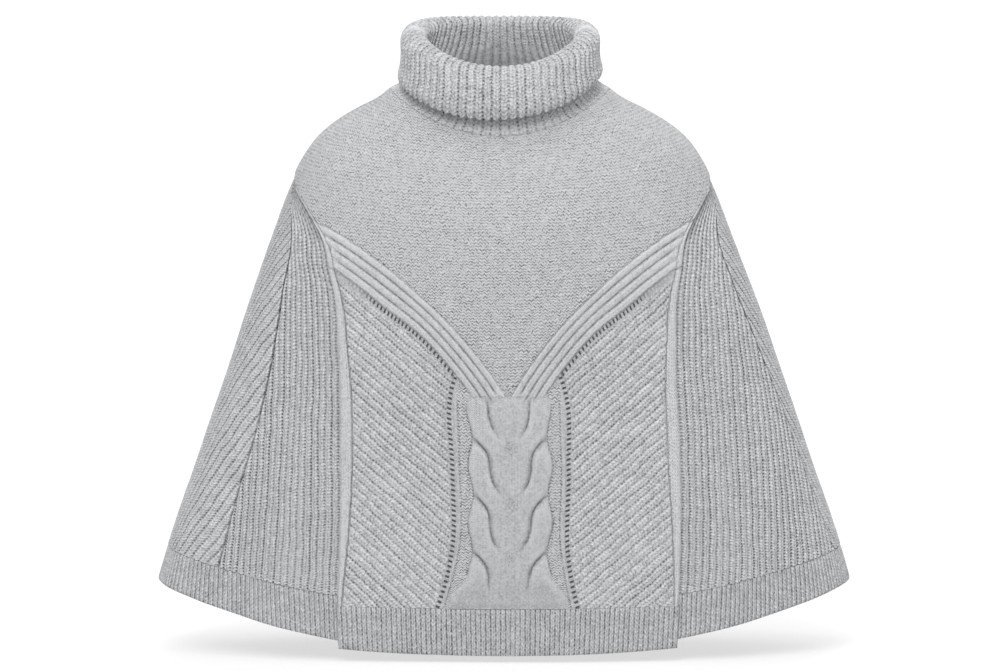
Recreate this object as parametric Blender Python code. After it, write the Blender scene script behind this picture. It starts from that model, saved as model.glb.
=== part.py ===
"""Knitted poncho sweater with a folded roll neck, a cabled front panel and ribbed wings and hems, as it hangs when worn.

The cloth is a hollow wall that follows rings round the wearer, from the neckline down. A place on it is (arc, drop):
arc is the distance round the ring from the front's middle, positive towards +X, and drop counts down from the neckline.
Lengths are millimetres here and metres in the scene. The front faces -Y, +Z is up, and the origin is the neck's middle.
"""

import math

import bpy
import numpy as np
from mathutils import Vector
from mathutils.geometry import delaunay_2d_cdt

MM = 0.001
SIDES = (("left", -1), ("right", 1))  # as the photo shows them: left is -X
QUARTER = math.pi / 2

WALL = 3.0  # body cloth
COLLAR_WALL = 4.4  # the chunky rib of the roll neck
SEAM = 0.3  # between two pieces
NECK_GAP = 0.6  # between the collar and the panels, whose points differ there
LAP = 8.0  # how far a wing goes in under a panel's edge
LAP_GAP = 0.7  # between a panel's inside and the wing under it
HEM_DROP = 632.0  # where the hem bands are knitted on
BOTTOM_DROP = 678.0
SHOULDER_DROP = 157.0  # end of the shoulder seam, where panel edges and wing spines start
WING_TOP = SHOULDER_DROP - LAP

RING_COLUMNS = ("drop", "half_width", "front", "back", "z_front", "z_side", "z_back", "squareness")
RINGS = (
    (0, 131, 98, 78, -29, 20, 32, 2.3),
    (30, 150, 113, 90, -52, 6, 14, 2.3),
    (58, 173.5, 126, 99, -76, -7, -6, 2.3),
    (87, 199, 138, 107, -101, -24, -28, 2.3),
    (113, 219, 147, 113, -125, -42, -50, 2.32),
    (142, 236, 154, 118, -152, -66, -77, 2.35),
    (181, 253, 160, 121, -188, -102, -115, 2.4),
    (229, 270, 164, 122, -233, -147, -162, 2.45),
    (279, 287.5, 166, 123, -280, -194, -211, 2.5),
    (339, 308, 167, 124, -337, -250, -269, 2.5),
    (404, 328.5, 168, 126, -398, -312, -332, 2.5),
    (472, 351, 169, 129, -462, -378, -398, 2.5),
    (535, 371, 169, 132, -518, -438, -462, 2.5),
    (590, 389, 169, 136, -560, -489, -516, 2.5),
    (632, 402, 169, 139, -588, -529, -557, 2.5),
    (678, 414, 171, 141, -644, -570, -604, 2.5),
)
SWAY = ((0, -5), (150, -3), (400, 0), (680, 0))  # drop, sideways shift of a ring

# Soft folds: where they run (turn in degrees, 0 at the front), half their width in degrees and their height at the hem.
FOLD_COLUMNS = ("turn_top", "turn_hem", "half_width", "start_drop", "height")
FOLDS = (
    (-44, -41, 9, 240, 4.0),
    (-53, -52, 11, 200, -5.0),
    (-72, -73, 10, 280, 3.5),
    (42, 41, 9, 300, 3.5),
    (52, 54, 12, 220, -5.0),
    (-14, -11, 13, 330, -2.0),
    (17, 14, 12, 360, 1.5),
    (-116, -119, 12, 210, -5.0),
    (-138, -143, 14, 170, 5.5),
    (-162, -166, 15, 240, -4.5),
    (170, 167, 17, 200, 5.0),
    (143, 140, 13, 180, -5.5),
    (118, 113, 11, 260, 4.5),
)

# The front's own lines, as (height, distance from the front's middle line), and how that line leans across.
LEAN = ((-660, 0), (-590, 4), (-450, 8), (-330, 5), (-150, 0), (-29, -5))
PANEL_EDGE = ((-128, 227), (-194, 208), (-284, 201), (-394, 202), (-486, 203), (-557, 203), (-600, 202))
STRIP_WIDTH = ((-590, 5), (-557, 7), (-486, 12), (-394, 16), (-284, 14), (-194, 11), (-128, 9), (-84, 6))
V_EDGE = ((-128, 235), (-148, 200), (-176, 150), (-209, 110), (-254, 65), (-295, 30), (-332, 0))
EYELET_LINE = ((-592, 85), (-556, 75), (-520, 69), (-420, 69), (-325, 68), (-308, 63))

# Where the side seams run (drop, turn in degrees); on each the ribs of two wing pieces meet in a point.
SPINES = {
    "left": ((157, 90), (225, 70), (285, 65), (360, 61), (450, 59.5), (540, 59.5), (632, 58.5), (680, 58)),
    "right": ((157, 90), (225, 73), (285, 71.5), (360, 73), (450, 76), (540, 78), (632, 80), (680, 80.5)),
}
BACK_EDGE = ((157, 90), (181, 102), (229, 111), (279, 116), (339, 120), (404, 123), (472, 125), (632, 127), (680, 127.5))

V_RIBS = 4
V_RIB_WIDTH = 9.3
V_RIB_HEIGHT = 2.6
STRIP_HEIGHT = 2.4
CHEVRON_PITCH = 12.7  # measured down the panel
CHEVRON_SLOPE = 0.87
CHEVRON_HEIGHT = 1.7
WING_FRONT_PITCH = 8.6
WING_BACK_PITCH = 10.5
WING_RIB_HEIGHT = 1.8
WING_RIB_START = 6.5
MOST_WING_RIBS = 44
HEM_PITCH = 6.0
FRONT_SEAM_DIP = 13.0
FRONT_BOTTOM_DIP = 9.0
HEM_RIB_HEIGHT = 1.4
EYELET_DEPTH = 0.9
EYELET_BAND = 0.45  # the eyelets' row below the V bands, in rib widths
EYELET_TURN = 60.0  # nearer the middle than this, the eyelets run down and not along the band
EDGE_RUN_ON = 2.2  # how far the panel's edge is carried on below, in lengths of its last stretch

CABLE_NOTCHES = (-314, -382, -450, -518)  # heights where a strand comes out from under the one above
CABLE_HEIGHT = 4.6
CABLE_HALF_WIDTH = 44.0  # at a notch
CABLE_BULGE = 6.0  # more between two notches
CABLE_ROUNDING = 9.0  # how far in from its edge the cable is rounded
CREASE_DEPTH = 0.65  # share of the height that a dark line takes away
CREASE_WIDTH = 3.0
CABLE_TOP = -345.0
CABLE_BOTTOM = -584.0
CABLE_STEP = 12.0
CABLE_LINE = ((0, 44), (5, 38), (16, 29), (25, 26), (43, 24), (57, 20), (66, 15), (86, 0))  # below a notch, from the middle
CABLE_STRAND = ((10, 42), (25, 39), (45, 38), (60, 34), (74, 27), (88, 15))  # the ridge outside it

# The roll neck's wall, along its middle: from the neckline up the neck, over the top and down to the loose edge.
COLLAR_COLUMNS = ("half_width", "front", "back", "z_front", "z_side", "z_back")
COLLAR = (
    (121, 94, 75, -18, 19, 43),
    (110, 89, 73, -2, 28, 55),
    (101, 85, 72, 18, 48, 67),
    (94, 82, 72, 37, 68, 83),
    (92, 82, 74, 46, 82, 92),
    (104, 90, 84, 51.5, 90, 96.5),
    (115, 101, 95, 46, 81, 91),
    (115.5, 109.5, 101, 33, 66, 76),
    (116.5, 113.5, 103, 17, 51, 59),
    (119, 114, 102, 4, 41, 46.5),
    (118, 110.5, 99, -6, 35, 38.5),
)
COLLAR_RIBS = 72
COLLAR_RIB_HEIGHT = 1.7
NECKBAND_RIB = 0.7  # share of that height below the fold, and at the loose edge
LOOSE_EDGE_RIB = 0.5
COLLAR_SQUARE_BASE = 2.3  # as the neckline
COLLAR_SQUARE_FRONT = 2.6
COLLAR_SQUARE_BACK = 3.6
COLLAR_SAG = 1.6  # how soon the front's rows hang lower, going forward from the side
COLLAR_SHIFT = -4.5
COLLAR_TILT = 4.5  # the loose edge hangs lower at the left
COLLAR_ROWS_SEEN = (0, 2, 4, 5, 6, 7, 8, 10, 11)
COLLAR_ROWS_HIDDEN = (0, 1, 4, 6, 8, 11)
COLLAR_ROWS_FINE = 2  # up to here the neckband's ribs show under the loose edge

SHOULDER_TURN = (3, 7, 12, 17, 25)  # extra points down a seam from the shoulder, where it runs forward steeply
SEAM_POINTS = ((191, 17), (293, 34))  # from this drop on, a point for so many millimetres
NECK_STEP = math.radians(2.5)
TURN_STEP = math.radians(7.5)
LINE_SPACING = 46.0
SPARE_MARGIN = 8.0  # plain points keep this far from a piece's rim and lines
WOOL = (0.53, 0.54, 0.56, 1.0)
ROUGHNESS = 0.95


def smooth(rows, column, at):
    """A column's value along the first one, on a smooth curve through the rows."""
    table = np.asarray(rows, float)
    xs, ys = table[:, 0], table[:, column]
    if xs[0] > xs[-1]:
        xs, ys = xs[::-1], ys[::-1]
    slopes = np.gradient(ys, xs)
    at = np.asarray(at, float)
    i = np.clip(np.searchsorted(xs, at) - 1, 0, len(xs) - 2)
    step = xs[i + 1] - xs[i]
    t = (at - xs[i]) / step
    rise = t * t * (3 - 2 * t)
    leave = t * (1 - t) ** 2
    arrive = t * t * (t - 1)
    return ys[i] * (1 - rise) + ys[i + 1] * rise + step * (slopes[i] * leave + slopes[i + 1] * arrive)


def ease(share):
    """0 to 1, level at both ends."""
    share = np.clip(share, 0, 1)
    return share * share * (3 - 2 * share)


def ring(column, drop):
    return smooth(RINGS, RING_COLUMNS.index(column), drop)


def ring_point(turn, drop):
    """The unfolded cloth's outer face: turn is 0 at the front and a quarter turn at +X."""
    at_front = np.cos(turn) > 0
    squareness = ring("squareness", drop)
    across = np.abs(np.sin(turn))
    inward = np.clip(1 - across**squareness, 0, 1) ** (1 / squareness)
    depth = np.where(at_front, -ring("front", drop), ring("back", drop)) * inward
    middle = np.where(at_front, ring("z_front", drop), ring("z_back", drop))
    side = ring("z_side", drop)
    x = smooth(SWAY, 1, drop) + ring("half_width", drop) * np.sin(turn)
    return np.stack([x, depth, side + (middle - side) * np.cos(turn) ** 2], -1)


def folds(turn, drop):
    """How far the soft folds lift the cloth, growing towards the hem."""
    total = np.zeros(np.broadcast(turn, drop).shape)
    for row in FOLDS:
        fold = dict(zip(FOLD_COLUMNS, row))
        down = (drop - fold["start_drop"]) / (BOTTOM_DROP - fold["start_drop"])
        middle = fold["turn_top"] + (fold["turn_hem"] - fold["turn_top"]) * down
        off = (np.degrees(turn) - middle + 180) % 360 - 180
        shape = np.cos(QUARTER * np.clip(np.abs(off) / fold["half_width"], 0, 1)) ** 2
        total = total + fold["height"] * shape * ease(down * 1.1)
    return total


def facing(sheet, turn, along):
    """The outward direction of a sheet of rings."""
    step = 0.004
    round_it = sheet(turn + step, along) - sheet(turn - step, along)
    down_it = sheet(turn, along + step) - sheet(turn, along - step)
    normal = np.cross(down_it, round_it)
    return normal / np.linalg.norm(normal, axis=-1, keepdims=True)


def body(turn, drop, out):
    """A point on the body, this far out from the cloth's outer face."""
    out = np.asarray(out, float) + folds(turn, drop)
    return ring_point(turn, drop) + facing(ring_point, turn, drop) * out[..., None]


ARC_DROPS = np.linspace(-10, 690, 71)
ARC_TURNS = np.linspace(-math.pi, math.pi, 721)


def ring_arcs():
    """The distance round each ring from the front's middle, for every turn."""
    points = ring_point(ARC_TURNS[None, :], ARC_DROPS[:, None] + np.zeros((1, len(ARC_TURNS))))
    steps = np.linalg.norm(np.diff(points, axis=1), axis=-1)
    arcs = np.concatenate([np.zeros((len(ARC_DROPS), 1)), np.cumsum(steps, axis=1)], axis=1)
    return arcs - arcs[:, len(ARC_TURNS) // 2][:, None]


ARCS = ring_arcs()


def between_rings(value, drop, lookup):
    """Looks a value up on the two nearest rings and blends."""
    value, drop = np.broadcast_arrays(np.asarray(value, float), np.asarray(drop, float))
    at = np.clip((drop - ARC_DROPS[0]) / (ARC_DROPS[1] - ARC_DROPS[0]), 0, len(ARC_DROPS) - 1.001)
    low = at.astype(int)
    found = np.zeros(value.shape)
    for row in np.unique(low):
        here = low == row
        share = at[here] - row
        found[here] = (1 - share) * lookup(value[here], row) + share * lookup(value[here], row + 1)
    return found


def half_ring(drop):
    """From the front's middle to the back's."""
    return between_rings(np.full(np.shape(drop), math.pi), drop, lambda v, row: ARCS[row][-1])


def arc_of(turn, drop):
    """The arc at a turn. Past the back's middle both count on."""
    turn, drop = np.broadcast_arrays(np.asarray(turn, float), np.asarray(drop, float))
    laps = np.floor((turn + math.pi) / (2 * math.pi))
    arc = between_rings(turn - laps * 2 * math.pi, drop, lambda v, row: np.interp(v, ARC_TURNS, ARCS[row]))
    return arc + laps * 2 * half_ring(drop)


def turn_of(arc, drop):
    arc, drop = np.broadcast_arrays(np.asarray(arc, float), np.asarray(drop, float))
    half = half_ring(drop)
    laps = np.floor((arc + half) / (2 * half))
    turn = between_rings(arc - laps * 2 * half, drop, lambda v, row: np.interp(v, ARCS[row], ARC_TURNS))
    return turn + laps * 2 * math.pi


def on_front(x, z):
    """(arc, drop) of the front's point at this x and height, found by halving."""
    x, z = np.asarray(x, float), np.asarray(z, float)
    high, low = np.zeros(x.shape), np.full(x.shape, BOTTOM_DROP + 8)
    for _ in range(40):
        drop = (high + low) / 2
        across = np.clip((x - smooth(SWAY, 1, drop)) / ring("half_width", drop), -1, 1)
        turn = np.arcsin(across)
        above = ring_point(turn, drop)[..., 2] > z
        high, low = np.where(above, drop, high), np.where(above, low, drop)
    return np.stack([arc_of(turn, drop), drop], -1)


def front_line(rows, side):
    """A line of the front, given as (height, distance from the middle line), laid on the cloth."""
    table = np.asarray(rows, float)
    x = smooth(LEAN, 1, table[:, 0]) + side * table[:, 1]
    return on_front(x, table[:, 0])


def held(rows, height):
    """A table's value at a height, which stays the same beyond its ends."""
    return smooth(rows, 1, np.clip(height, rows[0][0], rows[-1][0]))


def seen_from_front(places):
    """(distance from the front's middle line, height) of places on the cloth."""
    points = ring_point(turn_of(places[:, 0], places[:, 1]), places[:, 1])
    return np.abs(points[:, 0] - smooth(LEAN, 1, points[:, 2])), points[:, 2]


def panel_edge(side):
    """The front panel's outer edge as rows of (drop, arc), from the shoulder down."""
    found = front_line(PANEL_EDGE, side)
    last = found[-1] + (found[-1] - found[-2]) * EDGE_RUN_ON
    shoulder = (float(arc_of(side * QUARTER, SHOULDER_DROP)), SHOULDER_DROP)
    return np.vstack([shoulder, found, last])[:, ::-1]


def turn_line(rows, side):
    """A seam given as (drop, turn in degrees), as rows of (drop, arc)."""
    table = np.asarray(rows, float)
    return np.stack([table[:, 0], arc_of(side * np.radians(table[:, 1]), table[:, 0])], -1)


FRONT_EDGES = {name: panel_edge(side) for name, side in SIDES}
SHOULDER_SEAMS = {name: turn_line([(row[0], 90) for row in RINGS[:7]], side) for name, side in SIDES}
SPINE_LINES = {name: turn_line(SPINES[name], side) for name, side in SIDES}
BACK_EDGES = {name: turn_line(BACK_EDGE, side) for name, side in SIDES}


def distance_to(points, line):
    """Distance from each point to a line of points, in the same plane."""
    start, end = line[:-1], line[1:]
    way = end - start
    rel = points[:, None] - start[None]
    share = np.clip((rel * way).sum(-1) / (way * way).sum(-1), 0, 1)
    return np.linalg.norm(rel - share[..., None] * way, axis=-1).min(1)


def inside(points, rim):
    """Whether each point is inside a closed outline."""
    x, y = points[:, 0][:, None], points[:, 1][:, None]
    ax, ay = rim[:, 0][None], rim[:, 1][None]
    bx, by = np.roll(rim[:, 0], -1)[None], np.roll(rim[:, 1], -1)[None]
    crosses = (ay > y) != (by > y)
    rise = np.where(by == ay, 1.0, by - ay)
    return (crosses & (x < ax + (y - ay) * (bx - ax) / rise)).sum(1) % 2 == 1


def runs(line, keep, spacing=LINE_SPACING, shortest=9.0):
    """The stretches of a line that lie where keep says, each with a point about every spacing."""
    line = np.asarray(line, float)
    lengths = np.concatenate([[0], np.cumsum(np.linalg.norm(np.diff(line, axis=0), axis=1))])
    dense_at = np.linspace(0, lengths[-1], max(2, int(lengths[-1] / 2) + 1))
    dense = np.stack([np.interp(dense_at, lengths, line[:, i]) for i in (0, 1)], -1)
    kept = np.concatenate([[False], keep(dense), [False]])
    starts = np.flatnonzero(kept[1:] & ~kept[:-1])
    ends = np.flatnonzero(~kept[1:] & kept[:-1]) - 1
    found = []
    for first, last in zip(starts, ends):
        length = dense_at[last] - dense_at[first]
        if length < shortest:
            continue
        count = max(2, math.ceil(length / spacing) + 1)
        found.append(dense[np.round(np.linspace(first, last, count)).astype(int)])
    return found


def seam_drops(first, last):
    """The drops where every seam has a point, so that its two sides match."""
    (close, close_step), (far, far_step) = SEAM_POINTS
    rows = np.concatenate([SHOULDER_DROP + np.array(SHOULDER_TURN), np.arange(close, far - 1, close_step),
                           np.arange(far, HEM_DROP - 12, far_step)])
    return np.concatenate([[first], rows[(rows > first + 1) & (rows < last - 3)], [last]])


SHARED_TURNS = np.arange(-24, 49) * TURN_STEP  # round to the back, and on over the left half again
NECK_TURNS = np.arange(-72, 145) * NECK_STEP


def across_row(first, last, drop, extra=(), turns=SHARED_TURNS):
    """Points along one drop between two arcs, on the shared turns and at the extra arcs, with both ends."""
    fixed = np.array([first, *extra, last])
    arcs = arc_of(turns, np.full(turns.shape, drop))
    arcs = arcs[(arcs > fixed.min()) & (arcs < fixed.max())]
    arcs = arcs[np.abs(arcs[:, None] - fixed[None]).min(1) > 2]
    arcs = np.sort(np.concatenate([arcs, fixed]))
    if last < first:
        arcs = arcs[::-1]
    return np.stack([arcs, np.full(arcs.shape, drop)], -1)


def down_row(edge, first, last, aside=0.0):
    """Points down a seam given as rows of (drop, arc), moved aside along the arc."""
    drops = seam_drops(first, last)
    return np.stack([smooth(edge, 1, drops) + aside, drops], -1)


def lattice():
    """The plain cloth's points: the rings' own drops at every shared turn."""
    drops = [row[0] for row in RINGS] + [(HEM_DROP + BOTTOM_DROP) / 2]
    return np.concatenate([np.stack([arc_of(SHARED_TURNS, drop), np.full(SHARED_TURNS.shape, drop)], -1)
                           for drop in drops])


LATTICE = lattice()


def triangulated(rim, lines):
    """Triangles that fill a rim and have the lines among their edges, with plain points between.

    At the back the arcs are counted from the back's middle here, so that the triangles don't slant.
    """
    places = list(rim)
    edges = [(i, (i + 1) % len(rim)) for i in range(len(rim))]
    for line in lines:
        edges += [(len(places) + i, len(places) + i + 1) for i in range(len(line) - 1)]
        places += list(line)
    closed_rim = np.vstack([rim, rim[:1]])
    spare = LATTICE[inside(LATTICE, rim)]
    for line in [closed_rim, *lines]:
        if len(spare):
            spare = spare[distance_to(spare, line) > SPARE_MARGIN]
    places = np.array(places + list(spare))
    at_back = rim[:, 0].mean() > 0.75 * float(half_ring(rim[:, 1].mean()))
    arcs_from = half_ring(places[:, 1]) if at_back else np.zeros(len(places))
    flat = [Vector((arc - start, -drop)) for (arc, drop), start in zip(places, arcs_from)]
    points, _, faces, came_from, _, _ = delaunay_2d_cdt(flat, edges, [], 1, 1e-4)
    numbers = []
    crossings = []
    for point, sources in zip(points, came_from):
        numbers.append(min(sources) if sources else len(places) + len(crossings))
        if not sources:
            start = float(half_ring(-point[1])) if at_back else 0.0
            crossings.append((point[0] + start, -point[1]))
    if crossings:
        places = np.vstack([places, crossings])
    return places, [tuple(numbers[i] for i in face) for face in faces]


def mesh_object(name, points, faces, collection):
    mesh = bpy.data.meshes.new(name)
    mesh.from_pydata([tuple(point) for point in np.asarray(points) * MM], [], [list(map(int, f)) for f in faces])
    mesh.validate()
    mesh.shade_smooth()
    piece = bpy.data.objects.new(name, mesh)
    collection.objects.link(piece)
    piece.data.materials.append(wool(name))
    return piece


def wool(name):
    material = bpy.data.materials.new(name + "_wool")
    material.use_nodes = True
    surface = material.node_tree.nodes["Principled BSDF"]
    surface.inputs["Base Color"].default_value = WOOL
    surface.inputs["Roughness"].default_value = ROUGHNESS
    surface.inputs["Metallic"].default_value = 0.0
    return material


def cloth_piece(name, rim, lines, relief, lift, collection, plain_lines=()):
    """A wall over a rim: its outer points follow the lines and the relief, over a plain inside."""
    outer, outer_faces = triangulated(rim, lines)
    inner, inner_faces = triangulated(rim, plain_lines)
    raised = relief(outer)
    raised[: len(rim)] = 0
    outer_points = body(turn_of(outer[:, 0], outer[:, 1]), outer[:, 1], lift(outer[:, 1]) + raised)
    inner_points = body(turn_of(inner[:, 0], inner[:, 1]), inner[:, 1], lift(inner[:, 1]) - WALL)
    count = len(outer)
    faces = list(outer_faces)
    faces += [tuple(count + i for i in reversed(face)) for face in inner_faces]
    for i in range(len(rim)):
        j = (i + 1) % len(rim)
        faces += [(j, i, count + i), (j, count + i, count + j)]
    return mesh_object(name, np.vstack([outer_points, inner_points]), faces, collection)


def panel_lift(drop):
    """The panels stand a wall and a gap proud of the wings, level with the collar at the neckline."""
    return (WALL + LAP_GAP) * ease(drop / (SHOULDER_DROP - 30))


def no_lift(drop):
    return np.zeros(np.shape(drop))


def clear_of(rim, margin):
    closed_rim = np.vstack([rim, rim[:1]])
    return lambda places: inside(places, rim) & (distance_to(places, closed_rim) > margin)


def waves(phase):
    """Rounded ribs: 1 on a ridge, at each whole phase, and 0 between."""
    return 0.5 + 0.5 * np.cos(2 * math.pi * phase)


def v_band(aside, height):
    """How far below the V's upper edge a place lies, square to it, and negative above."""
    line = np.asarray(V_EDGE, float)[:, ::-1]
    away = distance_to(np.stack([aside, height], -1), line)
    edge_height = np.interp(aside, line[::-1, 0], line[::-1, 1])
    return np.where(height < edge_height, away, -away)


def cable_lines():
    """The dark lines between strands on one side, as (distance from the middle, height)."""
    return [np.array([(aside, notch - down) for down, aside in CABLE_LINE], float) for notch in CABLE_NOTCHES]


def cable_edge(height):
    """Half the cable's width: it swells between two notches."""
    pitch = CABLE_NOTCHES[0] - CABLE_NOTCHES[1]
    return CABLE_HALF_WIDTH + CABLE_BULGE * np.sin(math.pi * (height - CABLE_NOTCHES[0]) / pitch) ** 2


def cable_relief(aside, height):
    """Rounded strands: low along the lines where one goes under the next."""
    places = np.stack([aside, height], -1)
    to_line = np.min([distance_to(places, line) for line in cable_lines()], axis=0)
    to_edge = np.clip((cable_edge(height) - aside) / CABLE_ROUNDING, 0, 1)
    rounded = np.sqrt(1 - (1 - to_edge) ** 2)
    return CABLE_HEIGHT * rounded * (1 - CREASE_DEPTH * np.exp(-((to_line / CREASE_WIDTH) ** 2)))


def from_strip(places, height):
    """How far places are from the panel's own edge, and how wide the rolled strip there is."""
    edge = np.where(places[:, 0] < 0, smooth(FRONT_EDGES["left"], 1, places[:, 1]),
                    smooth(FRONT_EDGES["right"], 1, places[:, 1]))
    return np.abs(edge) - np.abs(places[:, 0]), held(STRIP_WIDTH, height)


def front_relief(places):
    """The front panel's raised knitting: V bands, cable, chevron ribs and the rolled strips at its edges."""
    aside, height = seen_from_front(places)
    band = v_band(aside, height) / V_RIB_WIDTH
    eyelet = held(EYELET_LINE, height)
    below_band = band > V_RIBS
    in_cable = (aside < eyelet - 5) & (below_band | (height < CABLE_TOP))
    in_band = (band > 0) & (band < V_RIBS) & ~in_cable
    to_edge, strip = from_strip(places, height)
    in_strip = (to_edge < strip) & (places[:, 1] > SHOULDER_DROP)
    in_chevron = (band > V_RIBS + 0.7) & (aside > eyelet + 2) & (to_edge > strip + 1)
    chevron = CHEVRON_HEIGHT * waves((height - CHEVRON_SLOPE * aside) / CHEVRON_PITCH)
    along_band = (np.abs(band - V_RIBS - EYELET_BAND) < 0.2) & (aside > EYELET_TURN)
    on_eyelets = along_band | (np.abs(aside - eyelet) < 1) & below_band
    raised = np.zeros(len(places))
    raised[in_chevron] = chevron[in_chevron]
    raised[on_eyelets & ~in_strip] = -EYELET_DEPTH
    raised[in_band] = (V_RIB_HEIGHT * np.abs(np.sin(math.pi * band)))[in_band]
    raised[in_cable] = cable_relief(aside, height)[in_cable]
    raised[in_strip] = (STRIP_HEIGHT * np.sin(math.pi * np.clip(to_edge / strip, 0, 1)))[in_strip]
    fade = ease((places[:, 1] - SHOULDER_DROP) / 25)
    return np.where(in_strip, raised * fade, raised)


def v_edge_moved(away):
    """The V's upper edge moved down, square to itself, as (distance from the middle, height)."""
    line = np.asarray(V_EDGE, float)[:, ::-1]
    way = np.gradient(line, axis=0)
    way /= np.linalg.norm(way, axis=1, keepdims=True)
    return line + np.stack([way[:, 1], -way[:, 0]], -1) * away


def laid(line, side):
    """A line of (distance from the middle, height) laid on the cloth at one side."""
    line = line[line[:, 0] >= 0]
    return front_line(line[:, ::-1], side)


def front_lines(rim):
    """Every ridge and groove of the front panel, laid on the cloth."""
    clear = clear_of(rim, 5)

    def in_zone(test):
        return lambda places: clear(places) & inside_strip(places, 2) & test(*seen_from_front(places))

    found = []
    for _, side in SIDES:
        for half in range(2 * V_RIBS + 1):
            line = v_edge_moved(half * V_RIB_WIDTH / 2)
            found += runs(laid(line, side), in_zone(lambda a, h: (a > 4) & (h > CABLE_TOP + 1)), 30)
        for line in cable_lines():
            found += runs(laid(line, side), in_zone(lambda a, h: (a > 3) & in_cable_rows(h)), 14)
        for notch in CABLE_NOTCHES:
            strand = np.array([(aside, notch - down) for down, aside in CABLE_STRAND], float)
            found += runs(laid(strand, side), in_zone(lambda a, h: (a > 10) & in_cable_rows(h)), 18)
        heights = np.arange(CABLE_TOP - 5, CABLE_BOTTOM, -CABLE_STEP)
        outline = np.stack([cable_edge(heights), heights], -1)
        found += runs(laid(outline, side), in_zone(lambda a, h: h < CABLE_TOP - 3), 17)
        eyelets = np.asarray(EYELET_LINE, float)[:, ::-1]
        found += runs(laid(eyelets, side), in_zone(lambda a, h: h < EYELET_LINE[-1][0] - 14), 40)
        across = v_edge_moved((V_RIBS + EYELET_BAND) * V_RIB_WIDTH)
        found += runs(laid(across, side), in_zone(lambda a, h: a > EYELET_TURN + 12), 40)
        found += strip_lines(side)
        found += chevron_lines(side, clear)
    middle = np.array([(0.0, h) for h in np.arange(CABLE_TOP - 7, CABLE_BOTTOM, -CABLE_STEP)])
    found += runs(laid(middle, 1), clear, 22)
    return found


def in_cable_rows(height):
    return (height < CABLE_TOP - 4) & (height > CABLE_BOTTOM + 2)


def strip_lines(side):
    """The rolled strip's ridge and the groove at its inner side, beside the rim's own points."""
    edge = FRONT_EDGES["left" if side < 0 else "right"]
    drops = seam_drops(SHOULDER_DROP, HEM_DROP)[2:-1]
    arcs = smooth(edge, 1, drops)
    _, heights = seen_from_front(np.stack([arcs, drops], -1))
    widths = held(STRIP_WIDTH, heights)
    return [np.stack([arcs - side * widths * share, drops], -1) for share in (0.5, 1.0)]


def inside_strip(places, margin):
    """Whether places are this far inside the rolled strip's groove."""
    _, height = seen_from_front(places)
    to_edge, strip = from_strip(places, height)
    return (to_edge > strip + margin) | (places[:, 1] < SHOULDER_DROP)


def chevron_lines(side, clear):
    """Ridges and grooves that run down towards the cable."""
    def keep(places):
        aside, height = seen_from_front(places)
        below = v_band(aside, height) > (V_RIBS + 0.95) * V_RIB_WIDTH
        return clear(places) & below & (aside > held(EYELET_LINE, height) + 5) & inside_strip(places, 4)

    found = []
    asides = np.linspace(EYELET_TURN, PANEL_EDGE[0][1] - 12, 12)
    lowest, highest = PANEL_EDGE[-1][0] - 12, PANEL_EDGE[1][0] + 4
    first = math.floor((lowest - CHEVRON_SLOPE * asides[-1]) / CHEVRON_PITCH)
    last = math.ceil((highest - CHEVRON_SLOPE * asides[0]) / CHEVRON_PITCH)
    for half in range(2 * first, 2 * last):
        heights = half * CHEVRON_PITCH / 2 + CHEVRON_SLOPE * asides
        seen = (heights < highest) & (heights > lowest)
        if seen.sum() > 1:
            line = np.stack([asides[seen], heights[seen]], -1)
            found += runs(laid(line, side), keep, 50)
    return found


def edge_arc(edges, name, drop):
    return float(smooth(edges[name], 1, drop))


def behind(places):
    """Places of the left half, counted on round the back instead of from the front."""
    places = np.array(places, float)
    places[:, 0] += 2 * half_ring(places[:, 1])
    return places


def shoulder_row(name, aside):
    """Points down a shoulder seam, from the neckline."""
    drops = np.array([row[0] for row in RINGS if row[0] < WING_TOP - 5] + [WING_TOP, SHOULDER_DROP])
    return np.stack([smooth(SHOULDER_SEAMS[name], 1, drops) + aside, drops], -1)


def tucked_row(edge_line, way):
    """The edge of a wing, in under the panel, which has the same points on its inner face."""
    row = down_row(edge_line, SHOULDER_DROP, HEM_DROP - SEAM / 2, way * LAP)
    row[0, 1] = WING_TOP
    return row


def down_to(low, line):
    """The line with the rim's own point below it, where that hangs lower."""
    end = low[np.abs(low[:, 0] - line[-1, 0]).argmin()]
    return np.vstack([line, end]) if end[1] > line[-1, 1] else line


def dipped(places, at_edge):
    """The front's hem lines hang lower beside the wings."""
    places = np.array(places, float)
    places[:, 1] += at_edge * (places[:, 0] / edge_arc(FRONT_EDGES, "right", HEM_DROP)) ** 2
    return places


def panel(part_name, edges, shoulder_names, wrap, seam_dip, lines_of, relief, collection):
    """A panel from shoulder seam to shoulder seam, whose edges lap over the wings.

    The first shoulder name is the one where its arcs start, and wrap counts the other edge on round the back.
    """
    gap = SEAM / 2
    start, end = shoulder_names
    first = down_row(edges[start], SHOULDER_DROP, HEM_DROP, gap)
    last = wrap(down_row(edges[end], SHOULDER_DROP, HEM_DROP, -gap))
    tucked = tucked_row(edges[start], 1), wrap(tucked_row(edges[end], -1))
    bottom = across_row(first[-1][0], last[-1][0], HEM_DROP - gap, (tucked[0][-1][0], tucked[1][-1][0]))
    shoulders = shoulder_row(start, gap), wrap(shoulder_row(end, -gap))
    neck = across_row(shoulders[1][0][0], shoulders[0][0][0], 0.0, turns=NECK_TURNS)[1:-1]
    low = dipped(bottom, seam_dip)
    rim = np.vstack([shoulders[0], first[1:-1], low, last[::-1][1:-1], shoulders[1][::-1], neck])
    plain = [down_to(low, line) for line in tucked]
    cloth_piece(part_name, rim, lines_of(rim, plain), relief, panel_lift, collection, plain)


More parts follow.
